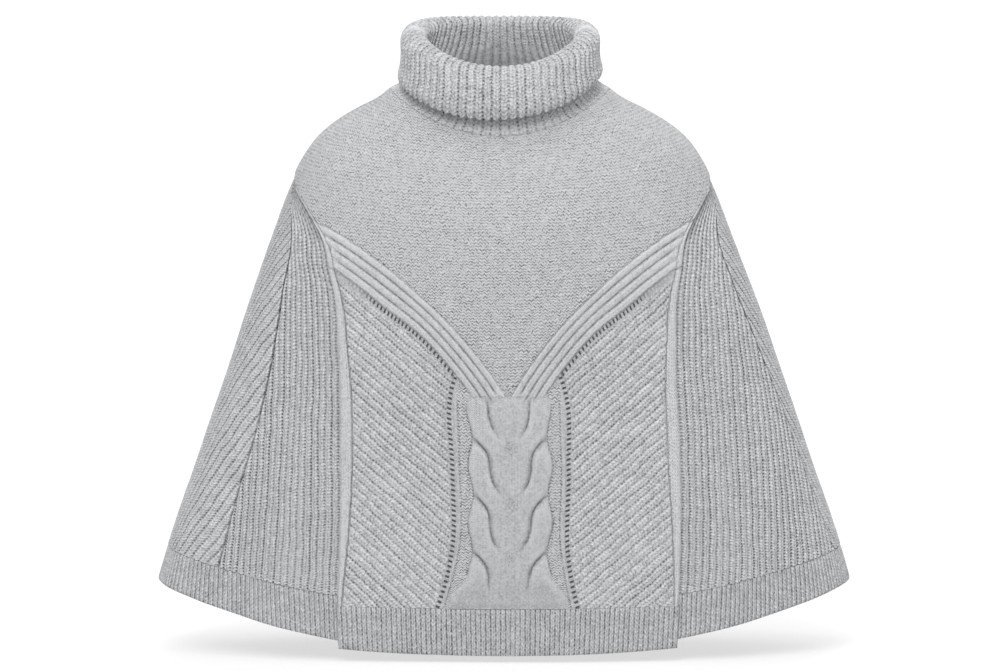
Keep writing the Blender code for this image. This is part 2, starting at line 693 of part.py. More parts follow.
def front_panel(collection):
    """Yoke, V bands, cable and chevron panels in one, with a rolled strip down each edge."""
    panel("front_panel", FRONT_EDGES, ("left", "right"), np.array, FRONT_SEAM_DIP,
          lambda rim, plain: front_lines(rim), front_relief, collection)


def back_panel(collection):
    panel("back_panel", BACK_EDGES, ("right", "left"), behind, 0.0, lambda rim, plain: plain, no_relief, collection)


def no_relief(places):
    return np.zeros(len(places))


def wing(part_name, spine_line, edge_line, way, pitch, collection):
    """A ribbed wing piece, from its spine to under a panel's edge, which its ribs run beside.

    way is the sign of the arc's change from the spine to the panel.
    """
    gap = SEAM / 2
    spine = down_row(spine_line, SHOULDER_DROP, HEM_DROP - gap, way * SEAM)
    spine = np.vstack([[spine[0, 0], WING_TOP], spine])
    tucked = tucked_row(edge_line, way)
    over = down_row(edge_line, SHOULDER_DROP, HEM_DROP - gap)
    bottom = across_row(spine[-1][0], tucked[-1][0], HEM_DROP - gap, (over[-1][0],))[1:-1]
    rim = np.vstack([spine, bottom, tucked[::-1]])
    if way < 0:
        rim = rim[::-1]

    def relief(places):
        from_edge = -way * (places[:, 0] - smooth(edge_line, 1, places[:, 1]))
        from_spine = way * (places[:, 0] - smooth(spine_line, 1, places[:, 1]))
        ribs = waves((from_edge - WING_RIB_START) / pitch)
        return WING_RIB_HEIGHT * ribs * ease((from_edge - 2) / 4) * ease(from_spine / 3)

    lines = [np.vstack([spine[1], over[1:]])]
    drops = np.linspace(SHOULDER_DROP, HEM_DROP, 40)
    for half in range(2 * MOST_WING_RIBS):
        arcs = smooth(edge_line, 1, drops) - way * (WING_RIB_START + half * pitch / 2)
        lines += runs(np.stack([arcs, drops], -1), clear_of(rim, 3.0), 52)
    cloth_piece(part_name, rim, lines, relief, no_lift, collection)


def hem_band(part_name, first, last, under, lift, collection, seam_dip=0.0, bottom_dip=0.0):
    """A ribbed band between two arcs at the hem seam, which keeps its turns down to the bottom.

    under is how far its ends go in under the bands beside it, and 0 for a band that lies on top.
    """
    gap = SEAM / 2
    others = np.array([first + LAP, last - LAP])  # where a neighbour's edge lies over or under this band
    top = across_row(first, last, HEM_DROP + gap, others)
    turns = turn_of(top[:, 0], top[:, 1])
    other_turns = turn_of(others, HEM_DROP + gap)
    top = dipped(top, seam_dip)
    bottom = dipped(row_at(turns, BOTTOM_DROP), bottom_dip)
    left, right = (row_down(turns[end], np.linspace(top[end, 1], bottom[end, 1], 5)) for end in (0, -1))
    rim = np.vstack([bottom, right[::-1][1:-1], top[::-1], left[1:-1]])
    middle_drop = (HEM_DROP + BOTTOM_DROP) / 2
    ends = arc_of(turns[[0, -1]], middle_drop) + np.array([under, -under])
    count = int((ends[1] - ends[0]) / HEM_PITCH)
    pitch = (ends[1] - ends[0]) / count

    def relief(places):
        arcs = arc_of(turn_of(places[:, 0], places[:, 1]), middle_drop)
        to_end = np.minimum(arcs - ends[0], ends[1] - arcs)
        return HEM_RIB_HEIGHT * waves((arcs - ends[0]) / pitch - 0.5) * ease(to_end / 2)

    drops = np.linspace(HEM_DROP, BOTTOM_DROP + 12, 12)
    lapped = []
    for turn in other_turns:
        lapped += runs(row_down(float(turn), drops), clear_of(rim, 2.2), 12)
    lines = list(lapped) if under else []
    for half in range(1, 2 * count):
        turn = float(turn_of(ends[0] + half * pitch / 2, middle_drop))
        lines += runs(row_down(turn, drops), clear_of(rim, 2.2), 80)
    cloth_piece(part_name, rim, lines, relief, lift, collection, () if under else lapped)


def row_at(turns, drop):
    return np.stack([arc_of(turns, drop), np.full(turns.shape, drop)], -1)


def row_down(turn, drops):
    return np.stack([arc_of(turn, drops), drops], -1)


def wings(collection):
    for name, side in SIDES:
        wing(f"wing_front_{name}", SPINE_LINES[name], FRONT_EDGES[name], -side, WING_FRONT_PITCH, collection)
        wing(f"wing_back_{name}", SPINE_LINES[name], BACK_EDGES[name], side, WING_BACK_PITCH, collection)


def hems(collection):
    gap = SEAM / 2
    front = {name: edge_arc(FRONT_EDGES, name, HEM_DROP) for name, _ in SIDES}
    back = {name: edge_arc(BACK_EDGES, name, HEM_DROP) for name, _ in SIDES}
    full = 2 * float(half_ring(HEM_DROP))
    hem_band("front_hem", front["left"] + gap, front["right"] - gap, 0, panel_lift, collection,
             FRONT_SEAM_DIP, FRONT_BOTTOM_DIP)
    hem_band("right_wing_hem", front["right"] - LAP, back["right"] + LAP, LAP, no_lift, collection)
    hem_band("back_hem", back["right"] + gap, back["left"] + full - gap, 0, panel_lift, collection)
    hem_band("left_wing_hem", back["left"] - LAP, front["left"] + LAP, LAP, no_lift, collection)


def collar_value(column, along):
    rows = [(i + 1, *row) for i, row in enumerate(COLLAR)]
    return smooth(rows, COLLAR_COLUMNS.index(column) + 1, along)


def collar_point(turn, along):
    """The middle of the roll neck's wall: along counts its rows from the neckline, which is 0."""
    turn, along = np.broadcast_arrays(np.asarray(turn, float), np.asarray(along, float))
    at_front = np.cos(turn) > 0
    across = np.abs(np.sin(turn))
    rows = np.clip(along, 1, len(COLLAR) + 0.5)
    square = np.where(at_front, COLLAR_SQUARE_FRONT, COLLAR_SQUARE_BACK)
    square = COLLAR_SQUARE_BASE + (square - COLLAR_SQUARE_BASE) * ease((rows - 1) / 4)
    inward = np.clip(1 - across**square, 0, 1) ** (1 / square)
    depth = np.where(at_front, -collar_value("front", rows), collar_value("back", rows)) * inward
    side = collar_value("z_side", rows)
    front_height = side + (collar_value("z_front", rows) - side) * np.abs(np.cos(turn)) ** COLLAR_SAG
    back_height = side + (collar_value("z_back", rows) - side) * inward**1.5
    height = np.where(at_front, front_height, back_height)
    x = COLLAR_SHIFT + collar_value("half_width", rows) * np.sin(turn)
    height = height + COLLAR_TILT * ease((rows - 6) / 5) * np.sin(turn)
    upper = np.stack([x, depth, height], -1)
    base = body(turn, np.full(turn.shape, -SEAM), -WALL / 2)
    share = np.clip(along, 0, 1)[..., None]
    return base * (1 - share) + upper * share


def collar_wall(turns, along, out):
    """A ring of points this far out from the wall's middle, on the side that first faces away from the neck."""
    if along == 0:
        outer, inner = (body(turns, np.full(turns.shape, -NECK_GAP), depth) for depth in (0.0, -WALL))
        return (outer + inner) / 2, (outer - inner) / 2 * out
    along = np.full(turns.shape, float(along))
    thick = WALL + (COLLAR_WALL - WALL) * ease(along / 2)
    offset = out * thick / 2
    return collar_point(turns, along), facing_rows(turns, along) * offset[..., None]


def facing_rows(turns, along):
    """The wall's direction at its rows, from the rows on each side."""
    step = 0.01
    round_it = collar_point(turns + step, along) - collar_point(turns - step, along)
    before, after = np.clip(along - 0.25, 0, len(COLLAR)), np.clip(along + 0.25, 0, len(COLLAR))
    up_it = collar_point(turns, after) - collar_point(turns, before)
    normal = np.cross(round_it, up_it)
    return normal / np.linalg.norm(normal, axis=-1, keepdims=True)


def collar(collection):
    """The roll neck: one wall from the neckline up, over and down outside. Its ribs are on the side that shows."""
    ribs = np.arange(2 * COLLAR_RIBS) / (2 * COLLAR_RIBS) * 2 * math.pi
    points, rings = [], []

    def add_ring(turns, along, out, raised):
        middle, offset = collar_wall(turns, along, out)
        way = offset / np.linalg.norm(offset, axis=-1, keepdims=True)
        start = sum(len(ring) for ring in rings)
        points.append(middle + offset + way * raised[..., None])
        rings.append(range(start, start + len(turns)))

    last = len(COLLAR)
    for along in COLLAR_ROWS_SEEN:
        full = COLLAR_RIB_HEIGHT * ease(along / 1.5) * (LOOSE_EDGE_RIB if along == last else 1.0)
        add_ring(ribs, along, -1, full * (np.arange(len(ribs)) % 2))
    add_ring(ribs[::2], last, 1, np.zeros(COLLAR_RIBS))
    for along in COLLAR_ROWS_HIDDEN[::-1][1:]:
        fine = along <= COLLAR_ROWS_FINE
        turns = ribs if fine else ribs[::2]
        full = COLLAR_RIB_HEIGHT * NECKBAND_RIB * ease(along) if fine else 0.0
        add_ring(turns, along, 1, full * (np.arange(len(turns)) % 2))
    faces = []
    for lower, upper in zip(rings, rings[1:] + rings[:1]):
        faces += stitched(list(lower), list(upper))
    mesh_object("collar", np.vstack(points), faces, collection)


def stitched(lower, upper):
    """Triangles between two rings, one of which may have twice the other's points."""
    count = max(len(lower), len(upper))
    step_low, step_up = count // len(lower), count // len(upper)
    faces = []
    for i in range(count):
        a, b = lower[i // step_low], lower[(i + 1) // step_low % len(lower)]
        c, d = upper[i // step_up], upper[(i + 1) // step_up % len(upper)]
        if a != b:
            faces.append((a, d, b))
        if c != d:
            faces.append((a, c, d))
    return faces


def main():
    for old in list(bpy.data.objects):
        bpy.data.objects.remove(old)
    collection = bpy.data.collections.new("poncho_sweater")
    bpy.context.scene.collection.children.link(collection)
    front_panel(collection)
    back_panel(collection)
    wings(collection)
    hems(collection)
    collar(collection)


main()
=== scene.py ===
"""The knitted poncho sweater, dressed in fine knitted cloth, on a pale floor in soft studio light.

The cloth follows the same rings as the part. A place on it is (arc, drop): arc is the distance round the ring
from the front's middle, positive towards +X, and drop counts down from the neckline. Lengths here are in mm.
"""

import math

import bpy
import numpy as np
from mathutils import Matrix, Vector


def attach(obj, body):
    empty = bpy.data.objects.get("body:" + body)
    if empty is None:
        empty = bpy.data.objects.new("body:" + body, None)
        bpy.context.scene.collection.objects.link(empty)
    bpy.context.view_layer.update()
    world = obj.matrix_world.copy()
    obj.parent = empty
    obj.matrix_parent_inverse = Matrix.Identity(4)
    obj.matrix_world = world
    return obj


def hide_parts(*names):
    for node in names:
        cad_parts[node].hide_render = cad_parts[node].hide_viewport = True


MM = 0.001
SIDES = (("left", -1), ("right", 1))  # as the photo shows them: left is -X
QUARTER = math.pi / 2

WALL = 3.0  # body cloth
COLLAR_WALL = 4.4  # the chunky rib of the roll neck
SEAM = 0.3  # between two pieces
NECK_GAP = 0.6  # between the collar and the panels, whose points differ there
LAP = 8.0  # how far a wing goes in under a panel's edge
LAP_GAP = 0.7  # between a panel's inside and the wing under it
HEM_DROP = 632.0  # where the hem bands are knitted on
BOTTOM_DROP = 678.0
SHOULDER_DROP = 157.0  # end of the shoulder seam, where panel edges and wing spines start
WING_TOP = SHOULDER_DROP - LAP
BELOW_ALL = BOTTOM_DROP + 8
HALVINGS = 40
EDGE_GOES_ON = 2.2  # times the last step of its table, past the hem

RING_COLUMNS = ("drop", "half_width", "front", "back", "z_front", "z_side", "z_back", "squareness")
RINGS = (
    (0, 131, 98, 78, -29, 20, 32, 2.3),
    (30, 150, 113, 90, -52, 6, 14, 2.3),
    (58, 173.5, 126, 99, -76, -7, -6, 2.3),
    (87, 199, 138, 107, -101, -24, -28, 2.3),
    (113, 219, 147, 113, -125, -42, -50, 2.32),
    (142, 236, 154, 118, -152, -66, -77, 2.35),
    (181, 253, 160, 121, -188, -102, -115, 2.4),
    (229, 270, 164, 122, -233, -147, -162, 2.45),
    (279, 287.5, 166, 123, -280, -194, -211, 2.5),
    (339, 308, 167, 124, -337, -250, -269, 2.5),
    (404, 328.5, 168, 126, -398, -312, -332, 2.5),
    (472, 351, 169, 129, -462, -378, -398, 2.5),
    (535, 371, 169, 132, -518, -438, -462, 2.5),
    (590, 389, 169, 136, -560, -489, -516, 2.5),
    (632, 402, 169, 139, -588, -529, -557, 2.5),
    (678, 414, 171, 141, -644, -570, -604, 2.5),
)
SWAY = ((0, -5), (150, -3), (400, 0), (680, 0))  # drop, sideways shift of a ring

# Soft folds: turn in degrees at the neckline and the hem (0 at the front), half width in degrees,
# drop where they start, and height at the hem.
FOLDS = (
    (-44, -41, 9, 240, 4.0),
    (-53, -52, 11, 200, -5.0),
    (-72, -73, 10, 280, 3.5),
    (42, 41, 9, 300, 3.5),
    (52, 54, 12, 220, -5.0),
    (-14, -11, 13, 330, -2.0),
    (17, 14, 12, 360, 1.5),
    (-116, -119, 12, 210, -5.0),
    (-138, -143, 14, 170, 5.5),
    (-162, -166, 15, 240, -4.5),
    (170, 167, 17, 200, 5.0),
    (143, 140, 13, 180, -5.5),
    (118, 113, 11, 260, 4.5),
)
FOLD_GROWTH = 1.1

# The front's own lines, as (height, distance from the front's middle line), and how that line leans across.
LEAN = ((-660, 0), (-590, 4), (-450, 8), (-330, 5), (-150, 0), (-29, -5))
PANEL_EDGE = ((-128, 227), (-194, 208), (-284, 201), (-394, 202), (-486, 203), (-557, 203), (-600, 202))
STRIP_WIDTH = ((-590, 5), (-557, 7), (-486, 12), (-394, 16), (-284, 14), (-194, 11), (-128, 9), (-84, 6))
V_EDGE = ((-124, 235), (-141, 200), (-173, 150), (-206, 110), (-244, 70), (-279, 40),
          (-306, 20), (-337, 0), (-396, -42))
EYELET_LINE = ((-592, 85), (-556, 75), (-520, 69), (-420, 69), (-325, 67), (-308, 62))

# Where the side seams run (drop, turn in degrees); on each the ribs of two wing pieces meet in a point.
SPINES = {
    "left": ((157, 90), (225, 70), (285, 65), (360, 61), (450, 59.5), (540, 59.5), (632, 58.5), (680, 58)),
    "right": ((157, 90), (225, 73), (285, 71.5), (360, 73), (450, 76), (540, 78), (632, 80), (680, 80.5)),
}
BACK_EDGE = ((157, 90), (181, 102), (229, 111), (279, 116), (339, 120), (404, 123),
             (472, 125), (632, 127), (680, 127.5))

V_RIBS = 4
V_RIB_WIDTH = 9.3
V_RIB_WIDENING = 0.14  # from the middle to the sides
V_RIB_HEIGHT = 2.6
STRIP_HEIGHT = 2.4
CHEVRON_PITCH = 12.7  # measured down the panel
CHEVRON_SLOPE = 0.87
CHEVRON_HEIGHT = 1.0
WING_FRONT_PITCH = 8.6
WING_BACK_PITCH = 12.1
WING_RIB_HEIGHT = 1.8
WING_RIB_START = 6.5
HEM_PITCH = 6.0
FRONT_SEAM_DIP = 13.0
FRONT_BOTTOM_DIP = 9.0
HEM_RIB_HEIGHT = 1.4

CABLE_TOP = -322.0
CABLE_JOIN = 24.0  # length over which the V's ribs turn into the cable
CABLE_END = -548.0  # below here the strands run out into plain knit
CABLE_NOTCHES = (-314, -382, -450, -518)  # heights where a strand comes out from under the one above
CABLE_HEIGHT = 6.0
CABLE_HALF_WIDTH = 44.0  # at a notch
CABLE_BULGE = 6.0  # more between two notches
CABLE_LINE = ((0, 44), (5, 38), (16, 29), (25, 26), (43, 24), (57, 20), (66, 15), (86, 0))  # below a notch

# The middle of the roll neck's wall: from the neckline up the neck, over the top and down to the loose edge.
COLLAR_COLUMNS = ("half_width", "front", "back", "z_front", "z_side", "z_back")
COLLAR = (
    (121, 94, 75, -18, 19, 43),
    (110, 89, 73, -2, 28, 55),
    (101, 85, 72, 18, 48, 67),
    (94, 82, 72, 37, 68, 83),
    (92, 82, 74, 46, 82, 92),
    (104, 90, 84, 51.5, 90, 96.5),
    (115, 101, 95, 46, 81, 91),
    (115.5, 109.5, 101, 33, 66, 76),
    (116.5, 113.5, 103, 17, 51, 59),
    (119, 114, 102, 4, 41, 46.5),
    (118, 110.5, 99, -6, 35, 38.5),
)
COLLAR_RIBS = 72
COLLAR_RIB_HEIGHT = 1.7
COLLAR_SQUARE_BASE = 2.3  # as the neckline
COLLAR_SQUARE_FRONT = 2.6
COLLAR_SQUARE_BACK = 3.6
COLLAR_SAG = 1.6  # how soon the front's rows hang lower, going forward from the side
COLLAR_BACK_SAG = 1.5
COLLAR_SHIFT = -4.5
COLLAR_TILT = 4.5  # the loose edge hangs lower at the left

# Where something grows from none to full: start and length. It fades instead where the length is negative.
FADES = {
    # drops
    "panel_lift": (0, SHOULDER_DROP - 30),
    "swell": (0, 120),
    "neck_ribs": (14, -14),
    "strip": (SHOULDER_DROP, 25),
    "strip_line": (SHOULDER_DROP, 30),
    "spine_line": (330, 150),
    "front_dip": (HEM_DROP - 90, 90),
    "above_hem": (HEM_DROP, -14),
    # heights on the front
    "cable_top": (CABLE_TOP, -9),
    "cable_join": (CABLE_TOP, -CABLE_JOIN),
    "cable_rise": (CABLE_TOP, -70),
    "cable_foot": (-545, -30),
    "cable_end": (CABLE_END, -30),
    # mm down from a notch of the cable
    "strand_out": (10, 14),
    "strand_in": (12, 14),
    "crease": (76, -22),
    # mm from the front's middle line
    "v_line_middle": (4, 6),
    "v_widening": (95, 60),
    "faint_eyelets": (172, -20),
    # mm from a seam, an edge or a line
    "line": (3.4, -1.5),
    "v_line_side": (4, 12),
    "wing_edge": (2, 4),
    "wing_spine": (0, 3),
    "hem_end": (0, 2),
    "below_fold": (0, 4),
    # rows of the roll neck
    "collar_square": (1, 4),
    "collar_tilt": (6, 5),
    "collar_wall": (0, 2),
    "collar_ribs": (0, 0.8),
    "neckband": (2, 1.5),
    "inside": (5, 1.2),
    "scallop": (len(COLLAR) - 0.4, 0.4),
    "loose_edge": (len(COLLAR) - 0.3, 0.3),
    # share of a hem's height, and turn along it
    "hem_top": (0, 1 / 12),
    "hem_narrowing": (math.radians(100), -math.radians(60)),
}


def smooth(rows, column, at):
    """A column's value along the first one, on a smooth curve through the rows."""
    table = np.asarray(rows, float)
    xs, ys = table[:, 0], table[:, column]
    if xs[0] > xs[-1]:
        xs, ys = xs[::-1], ys[::-1]
    slopes = np.gradient(ys, xs)
    at = np.asarray(at, float)
    i = np.clip(np.searchsorted(xs, at) - 1, 0, len(xs) - 2)
    step = xs[i + 1] - xs[i]
    t = (at - xs[i]) / step
    rise = t * t * (3 - 2 * t)
    leave = t * (1 - t) ** 2
    arrive = t * t * (t - 1)
    return ys[i] * (1 - rise) + ys[i + 1] * rise + step * (slopes[i] * leave + slopes[i + 1] * arrive)


def ease(share):
    """0 to 1, level at both ends."""
    share = np.clip(share, 0, 1)
    return share * share * (3 - 2 * share)


def fade(name, value):
    """How far one of FADES has come at a value."""
    start, length = FADES[name]
    return ease((value - start) / length)


def ring(column, drop):
    return smooth(RINGS, RING_COLUMNS.index(column), drop)


def ring_point(turn, drop):
    """The unfolded cloth's outer face: turn is 0 at the front and a quarter turn at +X."""
    at_front = np.cos(turn) > 0
    squareness = ring("squareness", drop)
    across = np.abs(np.sin(turn))
    inward = np.clip(1 - across**squareness, 0, 1) ** (1 / squareness)
    depth = np.where(at_front, -ring("front", drop), ring("back", drop)) * inward
    middle = np.where(at_front, ring("z_front", drop), ring("z_back", drop))
    side = ring("z_side", drop)
    x = smooth(SWAY, 1, drop) + ring("half_width", drop) * np.sin(turn)
    return np.stack([x, depth, side + (middle - side) * np.cos(turn) ** 2], -1)


def folds(turn, drop):
    """How far the soft folds lift the cloth, growing towards the hem."""
    total = np.zeros(np.broadcast(turn, drop).shape)
    for turn_top, turn_hem, half_width, start_drop, height in FOLDS:
        down = (drop - start_drop) / (BOTTOM_DROP - start_drop)
        middle = turn_top + (turn_hem - turn_top) * down
        off = (np.degrees(turn) - middle + 180) % 360 - 180
        shape = np.cos(QUARTER * np.clip(np.abs(off) / half_width, 0, 1)) ** 2
        total = total + height * shape * ease(down * FOLD_GROWTH)
    return total


def facing(sheet, turn, along):
    """The outward direction of a sheet of rings."""
    step = 0.004
    round_it = sheet(turn + step, along) - sheet(turn - step, along)
    down_it = sheet(turn, along + step) - sheet(turn, along - step)
    normal = np.cross(down_it, round_it)
    return normal / np.linalg.norm(normal, axis=-1, keepdims=True)


def body(turn, drop, out):
    """A point on the body, this far out from the cloth's outer face."""
    out = np.asarray(out, float) + folds(turn, drop)
    return ring_point(turn, drop) + facing(ring_point, turn, drop) * out[..., None]


ARC_DROPS = np.linspace(-10, 690, 71)
ARC_TURNS = np.linspace(-math.pi, math.pi, 721)


def ring_arcs():
    """The distance round each ring from the front's middle, for every turn."""
    points = ring_point(ARC_TURNS[None, :], ARC_DROPS[:, None] + np.zeros((1, len(ARC_TURNS))))
    steps = np.linalg.norm(np.diff(points, axis=1), axis=-1)
    arcs = np.concatenate([np.zeros((len(ARC_DROPS), 1)), np.cumsum(steps, axis=1)], axis=1)
    return arcs - arcs[:, len(ARC_TURNS) // 2][:, None]


ARCS = ring_arcs()


def between_rings(value, drop, lookup):
    """Looks a value up on the two nearest rings and blends."""
    value, drop = np.broadcast_arrays(np.asarray(value, float), np.asarray(drop, float))
    at = np.clip((drop - ARC_DROPS[0]) / (ARC_DROPS[1] - ARC_DROPS[0]), 0, len(ARC_DROPS) - 1.001)
    low = at.astype(int)
    found = np.zeros(value.shape)
    for row in np.unique(low):
        here = low == row
        share = at[here] - row
        found[here] = (1 - share) * lookup(value[here], row) + share * lookup(value[here], row + 1)
    return found


def half_ring(drop):
    """From the front's middle to the back's."""
    return between_rings(np.full(np.shape(drop), math.pi), drop, lambda v, row: ARCS[row][-1])


def arc_of(turn, drop):
    """The arc at a turn. Past the back's middle both count on."""
    turn, drop = np.broadcast_arrays(np.asarray(turn, float), np.asarray(drop, float))
    laps = np.floor((turn + math.pi) / (2 * math.pi))
    arc = between_rings(turn - laps * 2 * math.pi, drop, lambda v, row: np.interp(v, ARC_TURNS, ARCS[row]))
    return arc + laps * 2 * half_ring(drop)


def turn_of(arc, drop):
    arc, drop = np.broadcast_arrays(np.asarray(arc, float), np.asarray(drop, float))
    half = half_ring(drop)
    laps = np.floor((arc + half) / (2 * half))
    turn = between_rings(arc - laps * 2 * half, drop, lambda v, row: np.interp(v, ARCS[row], ARC_TURNS))
    return turn + laps * 2 * math.pi


def on_front(x, z):
    """(arc, drop) of the front's point at this x and height, found by halving."""
    x, z = np.asarray(x, float), np.asarray(z, float)
    high, low = np.zeros(x.shape), np.full(x.shape, BELOW_ALL)
    for _ in range(HALVINGS):
        drop = (high + low) / 2
        across = np.clip((x - smooth(SWAY, 1, drop)) / ring("half_width", drop), -1, 1)
        turn = np.arcsin(across)
        above = ring_point(turn, drop)[..., 2] > z
        high, low = np.where(above, drop, high), np.where(above, low, drop)
    return np.stack([arc_of(turn, drop), drop], -1)


def front_line(rows, side):
    """A line of the front, given as (height, distance from the middle line), laid on the cloth."""
    table = np.asarray(rows, float)
    x = smooth(LEAN, 1, table[:, 0]) + side * table[:, 1]
    return on_front(x, table[:, 0])


def seen_from_front(places):
    """(distance from the front's middle line, height) of places on the cloth."""
    points = ring_point(turn_of(places[:, 0], places[:, 1]), places[:, 1])
    return np.abs(points[:, 0] - smooth(LEAN, 1, points[:, 2])), points[:, 2]


def panel_edge(side):
    """The front panel's outer edge as rows of (drop, arc), from the shoulder down."""
    found = front_line(PANEL_EDGE, side)
    last = found[-1] + (found[-1] - found[-2]) * EDGE_GOES_ON
    shoulder = (float(arc_of(side * QUARTER, SHOULDER_DROP)), SHOULDER_DROP)
    return np.vstack([shoulder, found, last])[:, ::-1]


def turn_line(rows, side):
    """A seam given as (drop, turn in degrees), as rows of (drop, arc)."""
    table = np.asarray(rows, float)
    return np.stack([table[:, 0], arc_of(side * np.radians(table[:, 1]), table[:, 0])], -1)


FRONT_EDGES = {name: panel_edge(side) for name, side in SIDES}
SHOULDER_SEAMS = {name: turn_line([(row[0], 90) for row in RINGS[:7]], side) for name, side in SIDES}
SPINE_LINES = {name: turn_line(SPINES[name], side) for name, side in SIDES}
BACK_EDGES = {name: turn_line(BACK_EDGE, side) for name, side in SIDES}


def distance_to(points, line):
    """Distance from each point to a line of points, in the same plane."""
    start, end = line[:-1], line[1:]
    way = end - start
    rel = points[:, None] - start[None]
    share = np.clip((rel * way).sum(-1) / (way * way).sum(-1), 0, 1)
    return np.linalg.norm(rel - share[..., None] * way, axis=-1).min(1)


def edge_arc(edges, name, drop):
    return float(smooth(edges[name], 1, drop))


def panel_lift(drop):
    """The panels stand a wall and a gap proud of the wings, level with the collar at the neckline."""
    return (WALL + LAP_GAP) * fade("panel_lift", drop)


def no_lift(drop):
    return np.zeros(np.shape(drop))


def waves(phase):
    """Rounded ribs: 1 on a ridge, at each whole phase, and 0 between."""
    return 0.5 + 0.5 * np.cos(2 * math.pi * phase)


def collar_value(column, along):
    rows = [(i + 1, *row) for i, row in enumerate(COLLAR)]
    return smooth(rows, COLLAR_COLUMNS.index(column) + 1, along)


def collar_point(turn, along):
    """The middle of the roll neck's wall: along counts its rows from the neckline, which is 0."""
    turn, along = np.broadcast_arrays(np.asarray(turn, float), np.asarray(along, float))
    at_front = np.cos(turn) > 0
    across = np.abs(np.sin(turn))
    rows = np.clip(along, 1, len(COLLAR) + 0.5)
    square = np.where(at_front, COLLAR_SQUARE_FRONT, COLLAR_SQUARE_BACK)
    square = COLLAR_SQUARE_BASE + (square - COLLAR_SQUARE_BASE) * fade("collar_square", rows)
    inward = np.clip(1 - across**square, 0, 1) ** (1 / square)
    depth = np.where(at_front, -collar_value("front", rows), collar_value("back", rows)) * inward
    side = collar_value("z_side", rows)
    front_height = side + (collar_value("z_front", rows) - side) * np.abs(np.cos(turn)) ** COLLAR_SAG
    back_height = side + (collar_value("z_back", rows) - side) * inward**COLLAR_BACK_SAG
    height = np.where(at_front, front_height, back_height)
    x = COLLAR_SHIFT + collar_value("half_width", rows) * np.sin(turn)
    height = height + COLLAR_TILT * fade("collar_tilt", rows) * np.sin(turn)
    upper = np.stack([x, depth, height], -1)
    base = body(turn, np.full(turn.shape, -SEAM), -WALL / 2)
    share = np.clip(along, 0, 1)[..., None]
    return base * (1 - share) + upper * share


def facing_rows(turns, along):
    """The wall's direction at its rows, from the rows on each side."""
    step = 0.01
    round_it = collar_point(turns + step, along) - collar_point(turns - step, along)
    before, after = np.clip(along - 0.25, 0, len(COLLAR)), np.clip(along + 0.25, 0, len(COLLAR))
    up_it = collar_point(turns, after) - collar_point(turns, before)
    normal = np.cross(round_it, up_it)
    return normal / np.linalg.norm(normal, axis=-1, keepdims=True)


# Fine cloth

FINE_STEP = 3  # the plain inside of a wall has one point for this many on the outside
ROUNDED = 0.8  # how far the two faces of a wall come together at a cut edge
CUT_ANGLE = math.radians(75)  # an edge sharper than this is a cut one
SWELL_HEIGHT = 1.4
# Waves per turn, per mm down, and phase.
SWELLS = ((3.1, 0.011, 0.4), (5.3, -0.017, 2.1), (8.7, 0.023, 4.0), (12.9, 0.009, 1.2))


def swell(turn, drop):
    """A slight unevenness that all the pieces share."""
    total = sum(np.sin(round_it * turn + down * drop + phase) for round_it, down, phase in SWELLS)
    return SWELL_HEIGHT * total / len(SWELLS) * fade("swell", drop)


class Cloth:
    """A grid of places, with what its outer points and its material need."""

    def __init__(self, name, arcs, drops, lift):
        self.name = name
        self.arcs, self.drops = np.broadcast_arrays(arcs, drops)
        self.turns = turn_of(self.arcs, self.drops)
        self.lift = lift(self.drops)
        self.raised = np.zeros(self.arcs.shape)
        self.maps = {"knit": (self.arcs, self.drops)}
        self.zones = np.zeros(self.arcs.shape + (4,))
        self.open_rows = []

    def points(self):
        """Outer and inner points, drawn together at the cut edges."""
        edge = np.zeros(self.arcs.shape)
        edge[[0, -1]] = edge[:, [0, -1]] = ROUNDED
        edge[self.open_rows, 1:-1] = 0
        uneven = swell(self.turns, self.drops)
        outer = body(self.turns, self.drops, self.lift + uneven + self.raised - edge)
        part = (slice(None, None, FINE_STEP),) * 2
        inner = body(self.turns[part], self.drops[part], (self.lift + uneven - WALL + edge)[part])
        return outer, inner

    def flat_area(self):
        smooth_points = body(self.turns, self.drops, self.lift - WALL / 2)
        across = smooth_points[1:, 1:] - smooth_points[:-1, :-1]
        other = smooth_points[1:, :-1] - smooth_points[:-1, 1:]
        return float(np.linalg.norm(np.cross(across, other), axis=-1).sum() / 2) * MM * MM


def rim_of(rows, columns, step):
    """Indices round a grid, down its first column first, a point for each step."""
    index = np.arange(rows * columns).reshape(rows, columns)
    down, right = index[:, 0], index[-1, :]
    up, left = index[::-1, -1], index[0, ::-1]
    return np.concatenate([line[:-1][::step] for line in (down, right, up, left)])


def quads(index, closed=False):
    """Faces of a grid of point numbers, outward for cloth whose arcs grow along its rows."""
    if closed:
        index = np.concatenate([index, index[:, :1]], axis=1)
    corners = (index[:-1, :-1], index[1:, :-1], index[1:, 1:], index[:-1, 1:])
    return np.stack([corner.ravel() for corner in corners], -1)


def wall_faces(rows, columns):
    """Faces of a closed wall: the outer grid, the sparse inner one turned round, and the cut edge between."""
    outer = np.arange(rows * columns).reshape(rows, columns)
    few_rows, few_columns = (rows - 1) // FINE_STEP + 1, (columns - 1) // FINE_STEP + 1
    inner = rows * columns + np.arange(few_rows * few_columns).reshape(few_rows, few_columns)
    fine = rim_of(rows, columns, 1)
    few = rim_of(few_rows, few_columns, 1) + rows * columns
    edge = []
    for i in range(len(few)):
        along = [fine[(i * FINE_STEP + k) % len(fine)] for k in range(FINE_STEP + 1)]
        edge.append(along[::-1] + [few[i], few[(i + 1) % len(few)]])
    return [quads(outer), quads(inner)[:, ::-1], np.array(edge)]


def placed(name, data):
    """A new object in the scene."""
    thing = bpy.data.objects.new(name, data)
    bpy.context.scene.collection.objects.link(thing)
    return thing


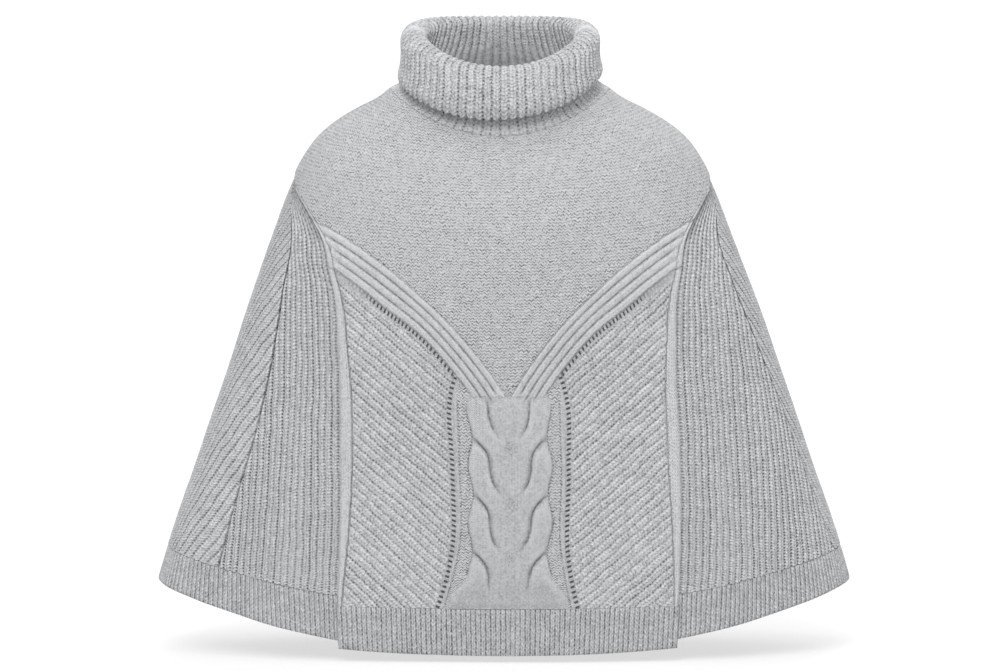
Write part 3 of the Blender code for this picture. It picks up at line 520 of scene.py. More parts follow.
def mesh_from(name, points, faces, maps, zones, material, wrap=None):
    """A mesh object from points in millimetres, arrays of faces, and what its material reads at each point.

    Where the piece closes on itself round its middle, the first number of each map starts again after wrap.
    """
    corners = np.concatenate([group.ravel() for group in faces])
    sizes = np.concatenate([np.full(len(group), group.shape[1]) for group in faces])
    mesh = bpy.data.meshes.new(name)
    mesh.vertices.add(len(points))
    mesh.vertices.foreach_set("co", (points * MM).ravel())
    mesh.loops.add(len(corners))
    mesh.loops.foreach_set("vertex_index", corners.astype(np.int32))
    mesh.polygons.add(len(sizes))
    mesh.polygons.foreach_set("loop_start", np.concatenate([[0], np.cumsum(sizes)[:-1]]).astype(np.int32))
    mesh.polygons.foreach_set("loop_total", sizes.astype(np.int32))
    mesh.update(calc_edges=True)
    mesh.validate()
    mesh.shade_smooth()
    mesh.set_sharp_from_angle(angle=CUT_ANGLE)
    for layer, (across, along) in maps.items():
        uv = mesh.uv_layers.new(name=layer)
        places = np.stack([across, along], -1)[corners]
        if wrap:
            by_face = places[:, 0].reshape(len(sizes), -1)
            by_face += wrap * (by_face.max(1, keepdims=True) - by_face > wrap / 2)
            places[:, 0] = by_face.ravel()
        uv.data.foreach_set("uv", places.ravel())
    colours = mesh.color_attributes.new("zones", "FLOAT_COLOR", "POINT")
    colours.data.foreach_set("color", zones.ravel())
    piece = placed(name, mesh)
    piece.data.materials.append(material)
    return piece


def woven(cloth, material):
    """The object for a cloth, in place of its CAD node."""
    rows, columns = cloth.arcs.shape
    outer, inner = cloth.points()
    part = (slice(None, None, FINE_STEP),) * 2

    def both(grid):
        grid = np.broadcast_to(grid, cloth.arcs.shape)
        return np.concatenate([grid.ravel(), grid[part].ravel()])

    maps = {layer: tuple(both(grid) for grid in grids) for layer, grids in cloth.maps.items()}
    points = np.concatenate([outer.reshape(-1, 3), inner.reshape(-1, 3)])
    zones = np.concatenate([cloth.zones.reshape(-1, 4), cloth.zones[part].reshape(-1, 4)])
    piece = mesh_from(cloth.name + "_knit", points, wall_faces(rows, columns), maps, zones, material)
    dress(piece, cloth.name)
    width = float((cloth.arcs[:, -1] - cloth.arcs[:, 0]).max()) * MM
    middle = columns // 2
    steps = np.diff(body(cloth.turns[:, middle], cloth.drops[:, middle], cloth.lift[:, middle]), axis=0)
    length = float(np.linalg.norm(steps, axis=-1).sum()) * MM
    area = min(cloth.flat_area(), width * length)
    return piece


def dress(piece, node):
    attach(piece, "root")
    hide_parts(node)


# Front panel

FRONT_COLUMNS = 276
FRONT_ROWS = ((0, 60), (170, 66), (300, 54), (HEM_DROP - SEAM / 2, 180))  # down to this drop in so many steps
GROOVE = 0.55  # power that makes the V bands' ribs broad and their grooves narrow
BAND_LIP = 0.8
BAND_LIP_WIDTH = 0.12  # in rib widths
BORDER_LINE = ((-596, 80), (-556, 70), (-520, 63), (-420, 62.5), (-335, 62.5))  # thin ridge beside the cable
BORDER_HEIGHT = 1.1
BORDER_WIDTH = 1.6
BORDER_GROOVE = 2.2  # the dark line beside it lies this much nearer the cable
BORDER_TOP = -338.0
CHEVRON_START = 0.85  # rib widths below the V bands
CHEVRON_ASIDE = 4.0  # from the eyelets
CHEVRON_SHARPNESS = 0.8
CABLE_ROUNDING = 12.0
CREASE_DEPTH = 0.45
CREASE_WIDTH = 2.4
FOOT_MARGIN = 4.0
FOOT_FLATNESS = 0.45
UNDER_DEPTH = 0.6  # how much lower a strand is where it lies under another
UNDER_REACH = 7.0
MOST_LOWERED = 0.9
CABLE_PIT = 1.6  # where the two halves of the cable meet
PIT_RADIUS = 7.5
PIT_BREADTH = 1.2  # how much broader than long it is
TIP_WIDTH = 6.0
TIP_LENGTH = 11.0
NECK_RIB_HEIGHT = 1.2
LEVEL_ROWS = 0.85  # how nearly the yoke's rows stay level where the rings rise towards the shoulders
HEM_SEAM_RELIEF = 0.3  # share of the relief that is left at the hem's seam
# Painted shade in the front's hollows and painted light on its crests:
HOLLOW_BLUR = 3  # points on each side
HOLLOW_FULL = 1.3  # mm below what is around it
HOLLOWS = {"chevron": 0.3, "cable": 1.2, "rest": 0.8}
EYELET_BAND = 0.3  # the eyelets' row below the V bands, in rib widths
EYELET_TOP = -200.0
EYELET_MARGIN = 4.0  # from the strip
EYELET_FAINTEST = 0.35
EYELET_PITCH = 6.1  # down the panel
EYELET_V_PITCH = 4.1  # sideways, along the V
EYELET_V_LEAN = -0.45
EYELET_V_WIDTH = 2.2
EYELET_WIDTH = 2.4
EYELET_LEAN = 0.35
STITCH_DOWN = 4.2
BAND_STITCH = 1.3  # how much shorter the stitches of the V's ribs are
RIB_WANDER = 0.135  # of a rib's width
WANDERS = ((0.043, 0.031, 0.5), (-0.078, 0.052, 2.2), (0.112, -0.087, 4.1), (0.021, 0.143, 1.0))

# Dark lines, which are painted shade in the V's grooves, where a cable's strand goes under, beside the border
# and round the cable, and which run along the strips: how strong they are, and for each groove of the V also
# the height where it ends.
V_GROOVES = ((0.3, -330), (0.75, -333), (0.75, -343), (0.75, -340), (0.35, -334))
V_GROOVE_FADE = 8.0
LINES = {"strand": 0.65, "border": 0.55, "cable": 0.5, "left strip": 0.6, "right strip": 0.35}
STRAND_LINES = ((24, 64), (1, 64), (1, 64), (1, 34))  # from here to there below each notch
STRAND_LINE_FADES = (6, 10)  # at its start and end
STRAND_LINE_ASIDE = CABLE_LINE[0][1] + 3
CABLE_LINE_OFF = 0.6  # outside the cable's edge
FAINTEST_LINE = 0.05  # a fainter one gives way to any other
FAR = 100.0


def held(rows, at):
    """A table's second column, which stays the same beyond its ends."""
    return smooth(rows, 1, np.clip(at, rows[0][0], rows[-1][0]))


def wander(arcs, drops, most):
    """How far hand-made ribs stray from their even places."""
    total = sum(np.sin(arcs * round_it + drops * down + start) for round_it, down, start in WANDERS)
    return most * total / len(WANDERS)


def even_steps(stops):
    """Values from the first stop to the last: each later stop is (value, steps to reach it)."""
    parts = [np.array([0.0])]
    start = 0.0
    for value, steps in stops:
        if value > start:
            parts.append(start + (value - start) * np.arange(1, steps + 1) / steps)
            start = value
    return np.concatenate(parts)


def side_edge(name, drops, edges):
    """A panel's side: the shoulder seam, and below it the edge over the wing."""
    on_seam = smooth(SHOULDER_SEAMS[name], 1, np.minimum(drops, SHOULDER_DROP))
    on_edge = smooth(edges[name], 1, np.maximum(drops, SHOULDER_DROP))
    return np.where(drops < SHOULDER_DROP, on_seam, on_edge)


def dense_line(rows, step=4.0):
    """A table of (first, second) as a smooth line with many points, given as (second, first)."""
    table = np.asarray(rows, float)
    firsts = np.arange(table[:, 0].min(), table[:, 0].max() + step, step)
    return np.stack([smooth(rows, 1, firsts), firsts], -1)


def signed_below(aside, height, line):
    """Distance to a line of (aside, height), positive below it."""
    places = np.stack([aside.ravel(), height.ravel()], -1)
    away = distance_to(places, line).reshape(aside.shape)
    order = np.argsort(line[:, 0])
    below = height < np.interp(aside, line[order, 0], line[order, 1])
    return np.where(below, away, -away)


def band_depth(aside, height):
    """How many rib widths a place lies below the V's upper edge, square to it."""
    widening = 1 + V_RIB_WIDENING * (fade("v_widening", aside) - 0.5)
    return signed_below(aside, height, dense_line(V_EDGE)) / (V_RIB_WIDTH * widening)


def cable_width(height):
    """Half the cable's width: it swells between two notches, and spreads out to the borders at its foot."""
    pitch = CABLE_NOTCHES[0] - CABLE_NOTCHES[1]
    width = CABLE_HALF_WIDTH + CABLE_BULGE * np.sin(math.pi * (height - CABLE_NOTCHES[0]) / pitch) ** 2
    foot = held(BORDER_LINE, height) - FOOT_MARGIN
    return width + (foot - width) * fade("cable_foot", height)


def cable_line(notch):
    """The dark line that starts at a notch, as a smooth line of (distance from the middle, height)."""
    line = dense_line(CABLE_LINE, 2.0)
    return np.stack([line[:, 0], notch - line[:, 1]], -1)


def cable(aside, height):
    """Rounded strands. Each comes out from under the one above and lies over the one that it closes in on."""
    to_edge = np.clip((cable_width(height) - aside) / CABLE_ROUNDING, 0, 1)
    full = CABLE_HEIGHT * np.sqrt(1 - (1 - to_edge) ** 2)
    lowered, pits = np.zeros((2, *aside.shape))
    for notch in CABLE_NOTCHES:
        down = notch - height
        below = signed_below(aside, height, cable_line(notch))
        ending = fade("crease", down)
        coming_out = (1 - fade("strand_out", down)) * (below > 0) * np.exp(-below / UNDER_REACH)
        going_in = fade("strand_in", down) * (below < 0) * np.exp(below / UNDER_REACH) * ending
        crease = np.exp(-((below / CREASE_WIDTH) ** 2)) * ending
        lowered = np.maximum(lowered, UNDER_DEPTH * (coming_out + going_in) + CREASE_DEPTH * crease)
        pit = np.hypot(aside / PIT_BREADTH, down - CABLE_LINE[-1][0] + PIT_RADIUS)
        pits = pits + CABLE_PIT * np.exp(-((pit / PIT_RADIUS) ** 2))
    foot = fade("cable_end", height)
    lowered = np.clip(lowered * (1 - foot), 0, MOST_LOWERED)
    start = V_RIB_HEIGHT / CABLE_HEIGHT
    rising = start + (1 - start) * fade("cable_rise", height)
    return full * rising * (1 - lowered) * (1 - FOOT_FLATNESS * foot) - pits * (1 - foot)


def tips(aside, height):
    """How near a place is to the open stitches where the cable's halves meet."""
    total = np.zeros(aside.shape)
    for notch in CABLE_NOTCHES:
        down = notch - height - CABLE_LINE[-1][0] + PIT_RADIUS
        total = total + np.exp(-((aside / TIP_WIDTH) ** 2) - (down / TIP_LENGTH) ** 2) * (height > CABLE_END)
    return total


def nearest_line(found):
    """Of several dark lines, each (signed distance, strength), the nearest one, which fades out beside it."""
    distances = np.stack([distance for distance, _ in found])
    strengths = np.stack([np.broadcast_to(strength, distances.shape[1:]) for _, strength in found])
    chosen = (np.abs(distances) + np.where(strengths < FAINTEST_LINE, FAR, 0)).argmin(0)[None]
    distance = np.take_along_axis(distances, chosen, 0)[0]
    strength = np.take_along_axis(strengths, chosen, 0)[0]
    return distance, strength * fade("line", np.abs(distance))


def hollows(raised):
    """How far each place lies below what is around it, from -1 on a crest to 1 in a groove. The wool paints
    shade from it in a groove and light on a crest.
    """
    around = raised.copy()
    for axis in (0, 1):
        for _ in range(2):
            total = np.zeros(raised.shape)
            for step in range(-HOLLOW_BLUR, HOLLOW_BLUR + 1):
                at = np.clip(np.arange(raised.shape[axis]) + step, 0, raised.shape[axis] - 1)
                total += np.take(around, at, axis=axis)
            around = total / (2 * HOLLOW_BLUR + 1)
    return np.clip((around - raised) / HOLLOW_FULL, -1, 1)


def neck_ribs(cloth):
    """The neckband's ribs, which fade out below the neckline."""
    ribs = waves(cloth.turns / (2 * math.pi) * COLLAR_RIBS + 0.5)
    return NECK_RIB_HEIGHT * (ribs - 0.5) * fade("neck_ribs", cloth.drops)


class Pattern:
    """Where each place of the front lies from the pattern's features, and which of them it is on."""

    def __init__(self, cloth, left, right):
        places = np.stack([cloth.arcs.ravel(), cloth.drops.ravel()], -1)
        self.aside, self.height = (part.reshape(cloth.arcs.shape) for part in seen_from_front(places))
        self.band = band_depth(self.aside, self.height)
        self.below_v = self.band > V_RIBS
        self.from_eyelets = self.aside - held(EYELET_LINE, self.height)
        self.from_v_eyelets = (self.band - V_RIBS - EYELET_BAND) * V_RIB_WIDTH
        self.from_border = self.aside - held(BORDER_LINE, self.height)
        self.to_edge = np.where(cloth.arcs < 0, -left, right) - np.abs(cloth.arcs)
        self.strip = held(STRIP_WIDTH, self.height) * fade("strip", cloth.drops)
        self.on_strip = (self.to_edge < self.strip) & (self.strip > 1)
        self.in_cable = (self.aside < cable_width(self.height)) & (self.height < CABLE_TOP) & (self.band > 0)
        joined = np.where(self.below_v, fade("cable_top", self.height), fade("cable_join", self.height))
        self.into_cable = np.where(self.in_cable, joined, 0)
        self.in_band = (self.band > 0) & (self.band < V_RIBS)
        self.in_chevron = (self.band > V_RIBS + CHEVRON_START) & (self.from_eyelets > CHEVRON_ASIDE)
        self.in_chevron &= self.to_edge > self.strip + 1
        self.phase = (self.height - CHEVRON_SLOPE * self.aside) / CHEVRON_PITCH
        self.phase += wander(cloth.arcs, cloth.drops, RIB_WANDER)

    def relief(self):
        """Border, chevrons, V bands with a lip round them, cable and strips."""
        border = BORDER_HEIGHT * np.exp(-((self.from_border / BORDER_WIDTH) ** 2))
        raised = np.where(self.below_v, border, 0.0)
        raised = np.where(self.in_chevron, CHEVRON_HEIGHT * waves(self.phase) ** CHEVRON_SHARPNESS, raised)
        raised = np.where(self.in_band, V_RIB_HEIGHT * np.abs(np.sin(math.pi * self.band)) ** GROOVE, raised)
        lip = BAND_LIP * np.exp(-((self.band / BAND_LIP_WIDTH) ** 2))
        raised = raised - np.where(self.in_band | self.in_cable, 0, lip)
        raised = raised + (cable(self.aside, self.height) - raised) * self.into_cable
        over_strip = np.clip(self.to_edge / np.maximum(self.strip, 1), 0, 1)
        return np.where(self.on_strip, STRIP_HEIGHT * np.sin(math.pi * over_strip), raised)

    def lines(self, cloth):
        """Dark lines of painted shade in the grooves of the V's ribs, round the cable's strands, beside the
        border and outside the cable's edge, and a dark line inside the strip.
        """
        aside, height, to_strip = self.aside, self.height, self.to_edge - self.strip
        groove = np.clip(np.round(self.band), 0, V_RIBS)
        strength, end = np.moveaxis(np.array(V_GROOVES)[groove.astype(int)], -1, 0)
        strength = strength * fade("v_line_side", to_strip) * fade("v_line_middle", aside)
        found = [((self.band - groove) * V_RIB_WIDTH, strength * ease((height - end) / V_GROOVE_FADE))]
        for notch, (first, last) in zip(CABLE_NOTCHES, STRAND_LINES):
            down = notch - height
            seen = ease((down - first) / STRAND_LINE_FADES[0]) * ease((last - down) / STRAND_LINE_FADES[1])
            strength = LINES["strand"] * seen * (aside < STRAND_LINE_ASIDE)
            found.append((signed_below(aside, height, cable_line(notch)), strength))
        border = (height < BORDER_TOP) & self.below_v
        found.append((self.from_border + BORDER_GROOVE, LINES["border"] * border))
        at_strip = np.where(cloth.arcs < 0, LINES["left strip"], LINES["right strip"])
        found.append((to_strip, at_strip * fade("strip_line", cloth.drops)))
        beside = (height < CABLE_TOP - CABLE_JOIN) & (height > CABLE_END)
        found.append((aside - cable_width(height) - CABLE_LINE_OFF, LINES["cable"] * beside))
        return nearest_line(found)

    def stitches(self, cloth, in_band):
        """How far across its rib and along it each place lies, in ribs and stitches."""
        along_chevron = (self.aside + CHEVRON_SLOPE * self.height) / math.hypot(1, CHEVRON_SLOPE)
        across = np.where(self.on_strip, self.to_edge / V_RIB_WIDTH, self.phase)
        along = np.where(self.on_strip, cloth.drops, along_chevron)
        along = np.where(in_band, self.aside * BAND_STITCH, along)
        return np.where(in_band, self.band, across), along / STITCH_DOWN

    def eyelets(self):
        """How far from the rows of eyelets and along them each place lies, in eyelets."""
        down, from_v = self.from_eyelets, self.from_v_eyelets
        on_v = (down > 2) & (np.abs(from_v) < np.abs(down))
        along_v = (self.aside + EYELET_V_LEAN * from_v) / EYELET_V_PITCH
        return (np.where(on_v, from_v / EYELET_V_WIDTH, down / EYELET_WIDTH),
                np.where(on_v, along_v, (self.height - EYELET_LEAN * down) / EYELET_PITCH))

    def zones(self, in_band):
        """The zones: chevrons, bands and strips, smooth knit, and how plain the eyelets are."""
        beside_cable = (self.height < CABLE_TOP) & (self.from_border < -1) & ~self.in_cable
        plain = self.below_v & ~self.in_chevron & ~self.on_strip & ~beside_cable | self.in_cable & ~in_band
        has_holes = self.below_v & (self.height < EYELET_TOP) & ~self.on_strip
        has_holes &= self.to_edge > self.strip + EYELET_MARGIN
        clear = EYELET_FAINTEST + (1 - EYELET_FAINTEST) * fade("faint_eyelets", self.aside)
        return np.stack([self.in_chevron, in_band | self.on_strip, plain, has_holes * clear], -1)


def front_cloth():
    drops = even_steps(FRONT_ROWS)[:, None]
    share = np.linspace(0, 1, FRONT_COLUMNS + 1)[None, :]
    left = side_edge("left", drops, FRONT_EDGES) + SEAM / 2
    right = side_edge("right", drops, FRONT_EDGES) - SEAM / 2
    arcs = left + (right - left) * share
    dip = FRONT_SEAM_DIP * (arcs / edge_arc(FRONT_EDGES, "right", HEM_DROP)) ** 2
    cloth = Cloth("front_panel", arcs, drops + dip * fade("front_dip", drops), panel_lift)
    cloth.open_rows = [0, -1]
    pattern = Pattern(cloth, left, right)
    raised = pattern.relief() * (HEM_SEAM_RELIEF + (1 - HEM_SEAM_RELIEF) * fade("above_hem", drops))
    cloth.raised = raised + neck_ribs(cloth)
    in_band = pattern.in_band & ~(pattern.into_cable > 0.5)
    cloth.maps["slant"] = pattern.stitches(cloth, in_band)
    cloth.maps["holes"] = pattern.eyelets()
    cloth.maps["lines"] = pattern.lines(cloth)
    # Painted shade in the hollows and painted light on the crests, and more painted light just below the
    # neckline, where the roll neck's shadow falls.
    weights = np.where(pattern.in_cable, HOLLOWS["cable"], HOLLOWS["rest"])
    relief = hollows(raised) * np.where(pattern.in_chevron, HOLLOWS["chevron"], weights)
    cloth.maps["relief"] = (relief - fade("neck_ribs", cloth.drops), tips(pattern.aside, pattern.height))
    above_middle = pattern.height - ring("z_front", cloth.drops)
    cloth.maps["knit"] = (cloth.arcs, cloth.drops - LEVEL_ROWS * above_middle)
    cloth.zones = pattern.zones(in_band)
    return cloth


# Back, wings, hems and collar

BACK_COLUMNS = 210
BACK_ROWS = ((HEM_DROP - SEAM / 2, 198),)
WING_COLUMNS = {
    "wing_front_left": 117,
    "wing_front_right": 165,
    "wing_back_left": 198,
    "wing_back_right": 168,
}
WING_ROWS = 159
WING_SHARPNESS = 0.8
WING_BACK_SLOPE = 0.25  # how the ribs behind a spine lean
WING_STITCH = 1.1  # how much shorter a wing's stitches are
SPINE_FADING = 0.6
HEM_STEP = 1.25
HEM_ROWS = 18
HEM_NARROWING = 0.044  # how much nearer the front's middle its hem's edges end than its turns would
HEM_WANDER = 0.15  # of a rib's width
HEM_WANDER_DOWN = 0.3
COLLAR_POINTS = 8  # round one rib
COLLAR_LINES = 84
COLLAR_START_RIBS = 0.35  # share of the ribs' height at the neckline
LOOSE_EDGE_FLATNESS = 0.2
HIDDEN_RIBS = 0.7  # share of that height inside the neckband, up to this row
HIDDEN_RIBS_END = 3
SCALLOP = 2.0  # how far each rib hangs lower at the fold's edge
INSIDE_PAINTED_LIGHT = -1.2  # painted light: paler, as much light finds its way in
NECKBAND_PAINTED_SHADOW = 3.0  # painted shadow on the neckband at the loose edge's height, just under the fold
# painted shade in the neckband's rib grooves, and how its painted shadow fades below the fold into painted
# light:
NECKBAND_RIBS = 1.6
NECKBAND_FADE = 3.7
STRETCHED = 0.05  # how narrow the stretched ribs' place is at the sides


def back_cloth():
    drops = even_steps(BACK_ROWS)[:, None]
    share = np.linspace(0, 1, BACK_COLUMNS + 1)[None, :]
    right = side_edge("right", drops, BACK_EDGES) + SEAM / 2
    left = side_edge("left", drops, BACK_EDGES) + 2 * half_ring(drops) - SEAM / 2
    cloth = Cloth("back_panel", right + (left - right) * share, drops, panel_lift)
    cloth.open_rows = [0, -1]
    cloth.raised = neck_ribs(cloth)
    return cloth


def wing_cloth(name, spine_line, edge_line, way, pitch, slope=0.0):
    """A wing piece from its spine to under a panel's edge. Its ribs run beside that edge or lean away."""
    drops = np.linspace(WING_TOP, HEM_DROP - SEAM / 2, WING_ROWS + 1)[:, None]
    below_seam = np.maximum(drops, SHOULDER_DROP)
    spine = smooth(spine_line, 1, below_seam) + way * SEAM
    tucked = smooth(edge_line, 1, below_seam) + way * LAP
    share = np.linspace(0, 1, WING_COLUMNS[name] + 1)[None, :]
    first, last = (spine, tucked) if way > 0 else (tucked, spine)
    cloth = Cloth(name, first + (last - first) * share, drops, no_lift)
    from_edge = -way * (cloth.arcs - smooth(edge_line, 1, below_seam))
    from_spine = way * (cloth.arcs - smooth(spine_line, 1, below_seam))
    phase = (from_edge - WING_RIB_START + slope * cloth.drops) / pitch
    phase += wander(cloth.arcs, cloth.drops, RIB_WANDER)
    height = WING_RIB_HEIGHT * waves(phase) ** WING_SHARPNESS
    cloth.raised = height * fade("wing_edge", from_edge) * fade("wing_spine", from_spine)
    cloth.maps["slant"] = (phase, cloth.drops * WING_STITCH / STITCH_DOWN)
    cloth.maps["lines"] = (from_spine - SEAM, 1 - SPINE_FADING * fade("spine_line", cloth.drops))
    cloth.zones[..., 0] = 1
    cloth.open_rows = [-1]
    return cloth


def hem_cloth(name, first, last, under, lift, seam_dip=0.0, bottom_dip=0.0):
    """A ribbed band between two arcs at the hem seam, which keeps its turns down to the bottom."""
    gap = SEAM / 2
    columns = int((last - first) / HEM_STEP) // FINE_STEP * FINE_STEP
    turns = turn_of(np.linspace(first, last, columns + 1), HEM_DROP + gap)[None, :]
    share = np.linspace(0, 1, HEM_ROWS + 1)[:, None]
    outward = (arc_of(turns, HEM_DROP) / edge_arc(FRONT_EDGES, "right", HEM_DROP)) ** 2
    tops = HEM_DROP + gap + seam_dip * outward
    drops = tops + (BOTTOM_DROP + bottom_dip * outward - tops) * share
    turns = turns * (1 - HEM_NARROWING * share * fade("hem_narrowing", np.abs(turns)))
    cloth = Cloth(name, arc_of(turns, drops), drops, lift)
    arcs = arc_of(turns[:1], (HEM_DROP + BOTTOM_DROP) / 2)
    start, end = arcs[0, 0] + under, arcs[0, -1] - under
    pitch = (end - start) / int((end - start) / HEM_PITCH)
    phase = (arcs - start) / pitch - 0.5 + wander(cloth.arcs, cloth.drops * HEM_WANDER_DOWN, HEM_WANDER)
    to_end = np.minimum(arcs - start, end - arcs)
    cloth.raised = HEM_RIB_HEIGHT * waves(phase) * fade("hem_end", to_end) * fade("hem_top", share)
    cloth.maps["slant"] = (phase, cloth.drops / STITCH_DOWN)
    cloth.zones[..., 0] = 1
    cloth.open_rows = [0]
    return cloth


def collar_wall(turns, along):
    """A ring of points on the wall's middle, and the way from there to its ribbed side."""
    if along == 0:
        outer, inner = (body(turns, np.full(turns.shape, -NECK_GAP), depth) for depth in (0.0, -WALL))
        return (outer + inner) / 2, (inner - outer) / 2
    along = np.full(turns.shape, float(along))
    thick = WALL + (COLLAR_WALL - WALL) * fade("collar_wall", along)
    return collar_point(turns, along), facing_rows(turns, along) * (-thick / 2)[..., None]


def collar_rings(turns, rows, ribs):
    """Rings on the roll neck's ribbed side and on its hidden one, and how far along its wall they lie."""
    seen, hidden, middles = [], [], []
    for along in rows:
        middle, offset = collar_wall(turns, along)
        middle[..., 2] -= SCALLOP * (ribs - 0.5) * fade("scallop", along)
        way = offset / np.linalg.norm(offset, axis=-1, keepdims=True)
        grown = COLLAR_START_RIBS + (1 - COLLAR_START_RIBS) * fade("collar_ribs", along)
        height = COLLAR_RIB_HEIGHT * ribs * grown * (1 - LOOSE_EDGE_FLATNESS * fade("loose_edge", along))
        seen.append(middle + offset + way * height[..., None])
        hidden.append(middle - offset - way * (HIDDEN_RIBS * height * (along < HIDDEN_RIBS_END))[..., None])
        middles.append(middle)
    steps = np.linalg.norm(np.diff(middles, axis=0), axis=-1).mean(-1)
    return seen, hidden, np.concatenate([[0.0], np.cumsum(steps)])


def collar_knit(material):
    """The roll neck: one wall from the neckline up, over and down outside, ribbed on the side that shows."""
    turns = np.linspace(0, 2 * math.pi, COLLAR_RIBS * COLLAR_POINTS, endpoint=False)
    rows = np.linspace(0, len(COLLAR), COLLAR_LINES + 1)
    phase = turns / (2 * math.pi) * COLLAR_RIBS + 0.5
    ribs = waves(phase)
    seen, hidden, path = collar_rings(turns, rows, ribs)
    few = np.arange(0, COLLAR_LINES + 1, FINE_STEP)[::-1]
    rings = seen + [hidden[i] for i in few]
    row_of = np.concatenate([np.arange(len(rows)), few])
    points = np.concatenate(rings)
    index = np.arange(len(points)).reshape(len(rings), len(turns))
    faces = quads(np.concatenate([index, index[:1]]), closed=True)

    def down(values):
        return np.repeat(values, len(turns))

    def around(values):
        return np.tile(values, len(rings))

    zones = np.zeros((len(points), 4))
    zones[:, 0] = 1
    on_neckband = down(1 - fade("neckband", rows[row_of]))
    outside = np.arange(len(points)) < len(rows) * len(turns)
    # Painted shadow on the neckband just under the fold's loose edge, fading below into painted light, with
    # painted shade in its rib grooves; painted light on the wall's inside.
    below_fold = fade("below_fold", around(seen[-1][:, 2]) - points[:, 2])
    neckband = NECKBAND_PAINTED_SHADOW - NECKBAND_RIBS * around(ribs) - NECKBAND_FADE * below_fold
    inside = INSIDE_PAINTED_LIGHT * down(1 - fade("inside", rows[row_of]))
    stretched = around(np.exp(-((np.cos(turns) / STRETCHED) ** 2)))
    relief = np.where(outside, neckband * on_neckband, inside), np.maximum(on_neckband * outside, stretched)
    maps = {"slant": (around(phase), down(path[row_of] / STITCH_DOWN)), "relief": relief}
    piece = mesh_from("collar_knit", points, [faces], maps, zones, material, COLLAR_RIBS)
    dress(piece, "collar")
    path[-1] * MM
    return piece


def knit_all():
    panel, hem = wool("panel_wool"), wool("hem_wool", "hem")
    wing, outer = wool("wing_wool", "wing"), wool("outer_wool", "outer")
    woven(front_cloth(), panel)
    woven(back_cloth(), panel)
    for name, side in SIDES:
        spine = SPINE_LINES[name]
        woven(wing_cloth(f"wing_front_{name}", spine, FRONT_EDGES[name], -side, WING_FRONT_PITCH), wing)
        woven(wing_cloth(f"wing_back_{name}", spine, BACK_EDGES[name], side, WING_BACK_PITCH,
                         WING_BACK_SLOPE), outer)
    gap = SEAM / 2
    front = {name: edge_arc(FRONT_EDGES, name, HEM_DROP) for name, _ in SIDES}
    back = {name: edge_arc(BACK_EDGES, name, HEM_DROP) for name, _ in SIDES}
    full = 2 * float(half_ring(HEM_DROP))
    woven(hem_cloth("front_hem", front["left"] + gap, front["right"] - gap, 0, panel_lift,
                    FRONT_SEAM_DIP, FRONT_BOTTOM_DIP), hem)
    woven(hem_cloth("right_wing_hem", front["right"] - LAP, back["right"] + LAP, LAP, no_lift), hem)
    woven(hem_cloth("back_hem", back["right"] + gap, back["left"] + full - gap, 0, panel_lift), hem)
    woven(hem_cloth("left_wing_hem", back["left"] - LAP, front["left"] + LAP, LAP, no_lift), hem)
    collar_knit(wool("collar_wool", "collar"))


# Wool

# PALE is the wool at its palest, as lit stitch tops, and DEEP the darkest it goes: the colour moves towards
# DEEP for the wool's heathered tone and for painted shade, and towards PALE for painted light.
PALE = (0.62, 0.628, 0.645, 1.0)
DEEP = (0.085, 0.087, 0.093, 1.0)
SURFACE = {"Roughness": 0.92, "Sheen Weight": 0.25, "Sheen Roughness": 0.5, "Specular IOR Level": 0.2}
BUMP = 0.0016  # metres for a full stitch
MOSS_WIDTH = 4.8  # a stitch of the yoke, in mm
MOSS_HEIGHT = 4.0
MOSS_ZIGZAG = 1.3
MOSS_HEIGHTS = -0.8  # of its lines, which get as much painted shade
MOSS_SHADE = -0.17
MOSS_LEAST = 0.25  # the least strength of its lines
MOSS_CHANCE = 0.5
PLAIN_WIDTH = 3.4  # a stitch of the smooth knit
PLAIN_HEIGHT = 2.9
STRANDS = 2  # side by side in one rib
# The ribs' grooves and pits, which lie lower and get painted shade:
GROOVE_FULL = 0.95
GROOVE_STRENGTH = 0.6
GROOVE_CHANCE = 0.4  # how much weaker or stronger one groove is, at most
GROOVE_UNEVEN = 1.2
PIT_LAG = 0.2  # of a stitch
PIT_HEIGHT = -0.9
CREASE_HEIGHT = -0.3
LEG_REACH = 1.3  # how far into the groove the painted shade between legs goes
BAND_STRANDS = 3.0  # ribs of stitches in one rib of the V

# Ribbed knits: how dark the painted shade is in the groove, in the pits in it, in the line between two
# strands and in the one between legs.
# How broad the groove is, how far the legs lean, how high a stitch and the ridge stand, how much the grooves
# differ from each other, how much darker the whole is, and how dark its specks are.
KNIT_COLUMNS = ("groove", "pit", "strand", "leg", "width", "lean", "stitch", "ridge", "vary", "shade",
                "speckle")
KNITS = {
    "wing": (0.08, 0.5, 0.2, 0.16, 0.5, 0.5, 0.5, 0.5, 1.0, 0.04, 0.15),
    "outer": (0.2, 0.26, 0.12, 0.12, 0.45, 0.5, 0.35, 0.45, 0.5, 0.09, 0.12),
    "hem": (0.22, 0.16, 0.24, 0.14, 0.6, 0.4, 0.3, 0.3, 0.35, 0.12, 0.12),
    "collar": (0.1, 0.42, 0.16, 0.16, 0.45, 0.35, 0.4, 0.4, 1.0, 0.02, 0.3),
    "chevron": (0.02, 0.36, 0.18, 0.14, 0.5, 0.4, 0.4, 0.1, 0.6, 0.05, 0.24),
    "smooth": (0.07, 0.12, 0.06, 0.15, 0.5, 0.5, 0.4, 0.15, 0.8, 0.0, 0.08),
    "strand": (0.07, 0.08, 0.05, 0.12, 0.4, 0.5, 0.3, 0.15, 0.8, 0.0, 0.06),
}

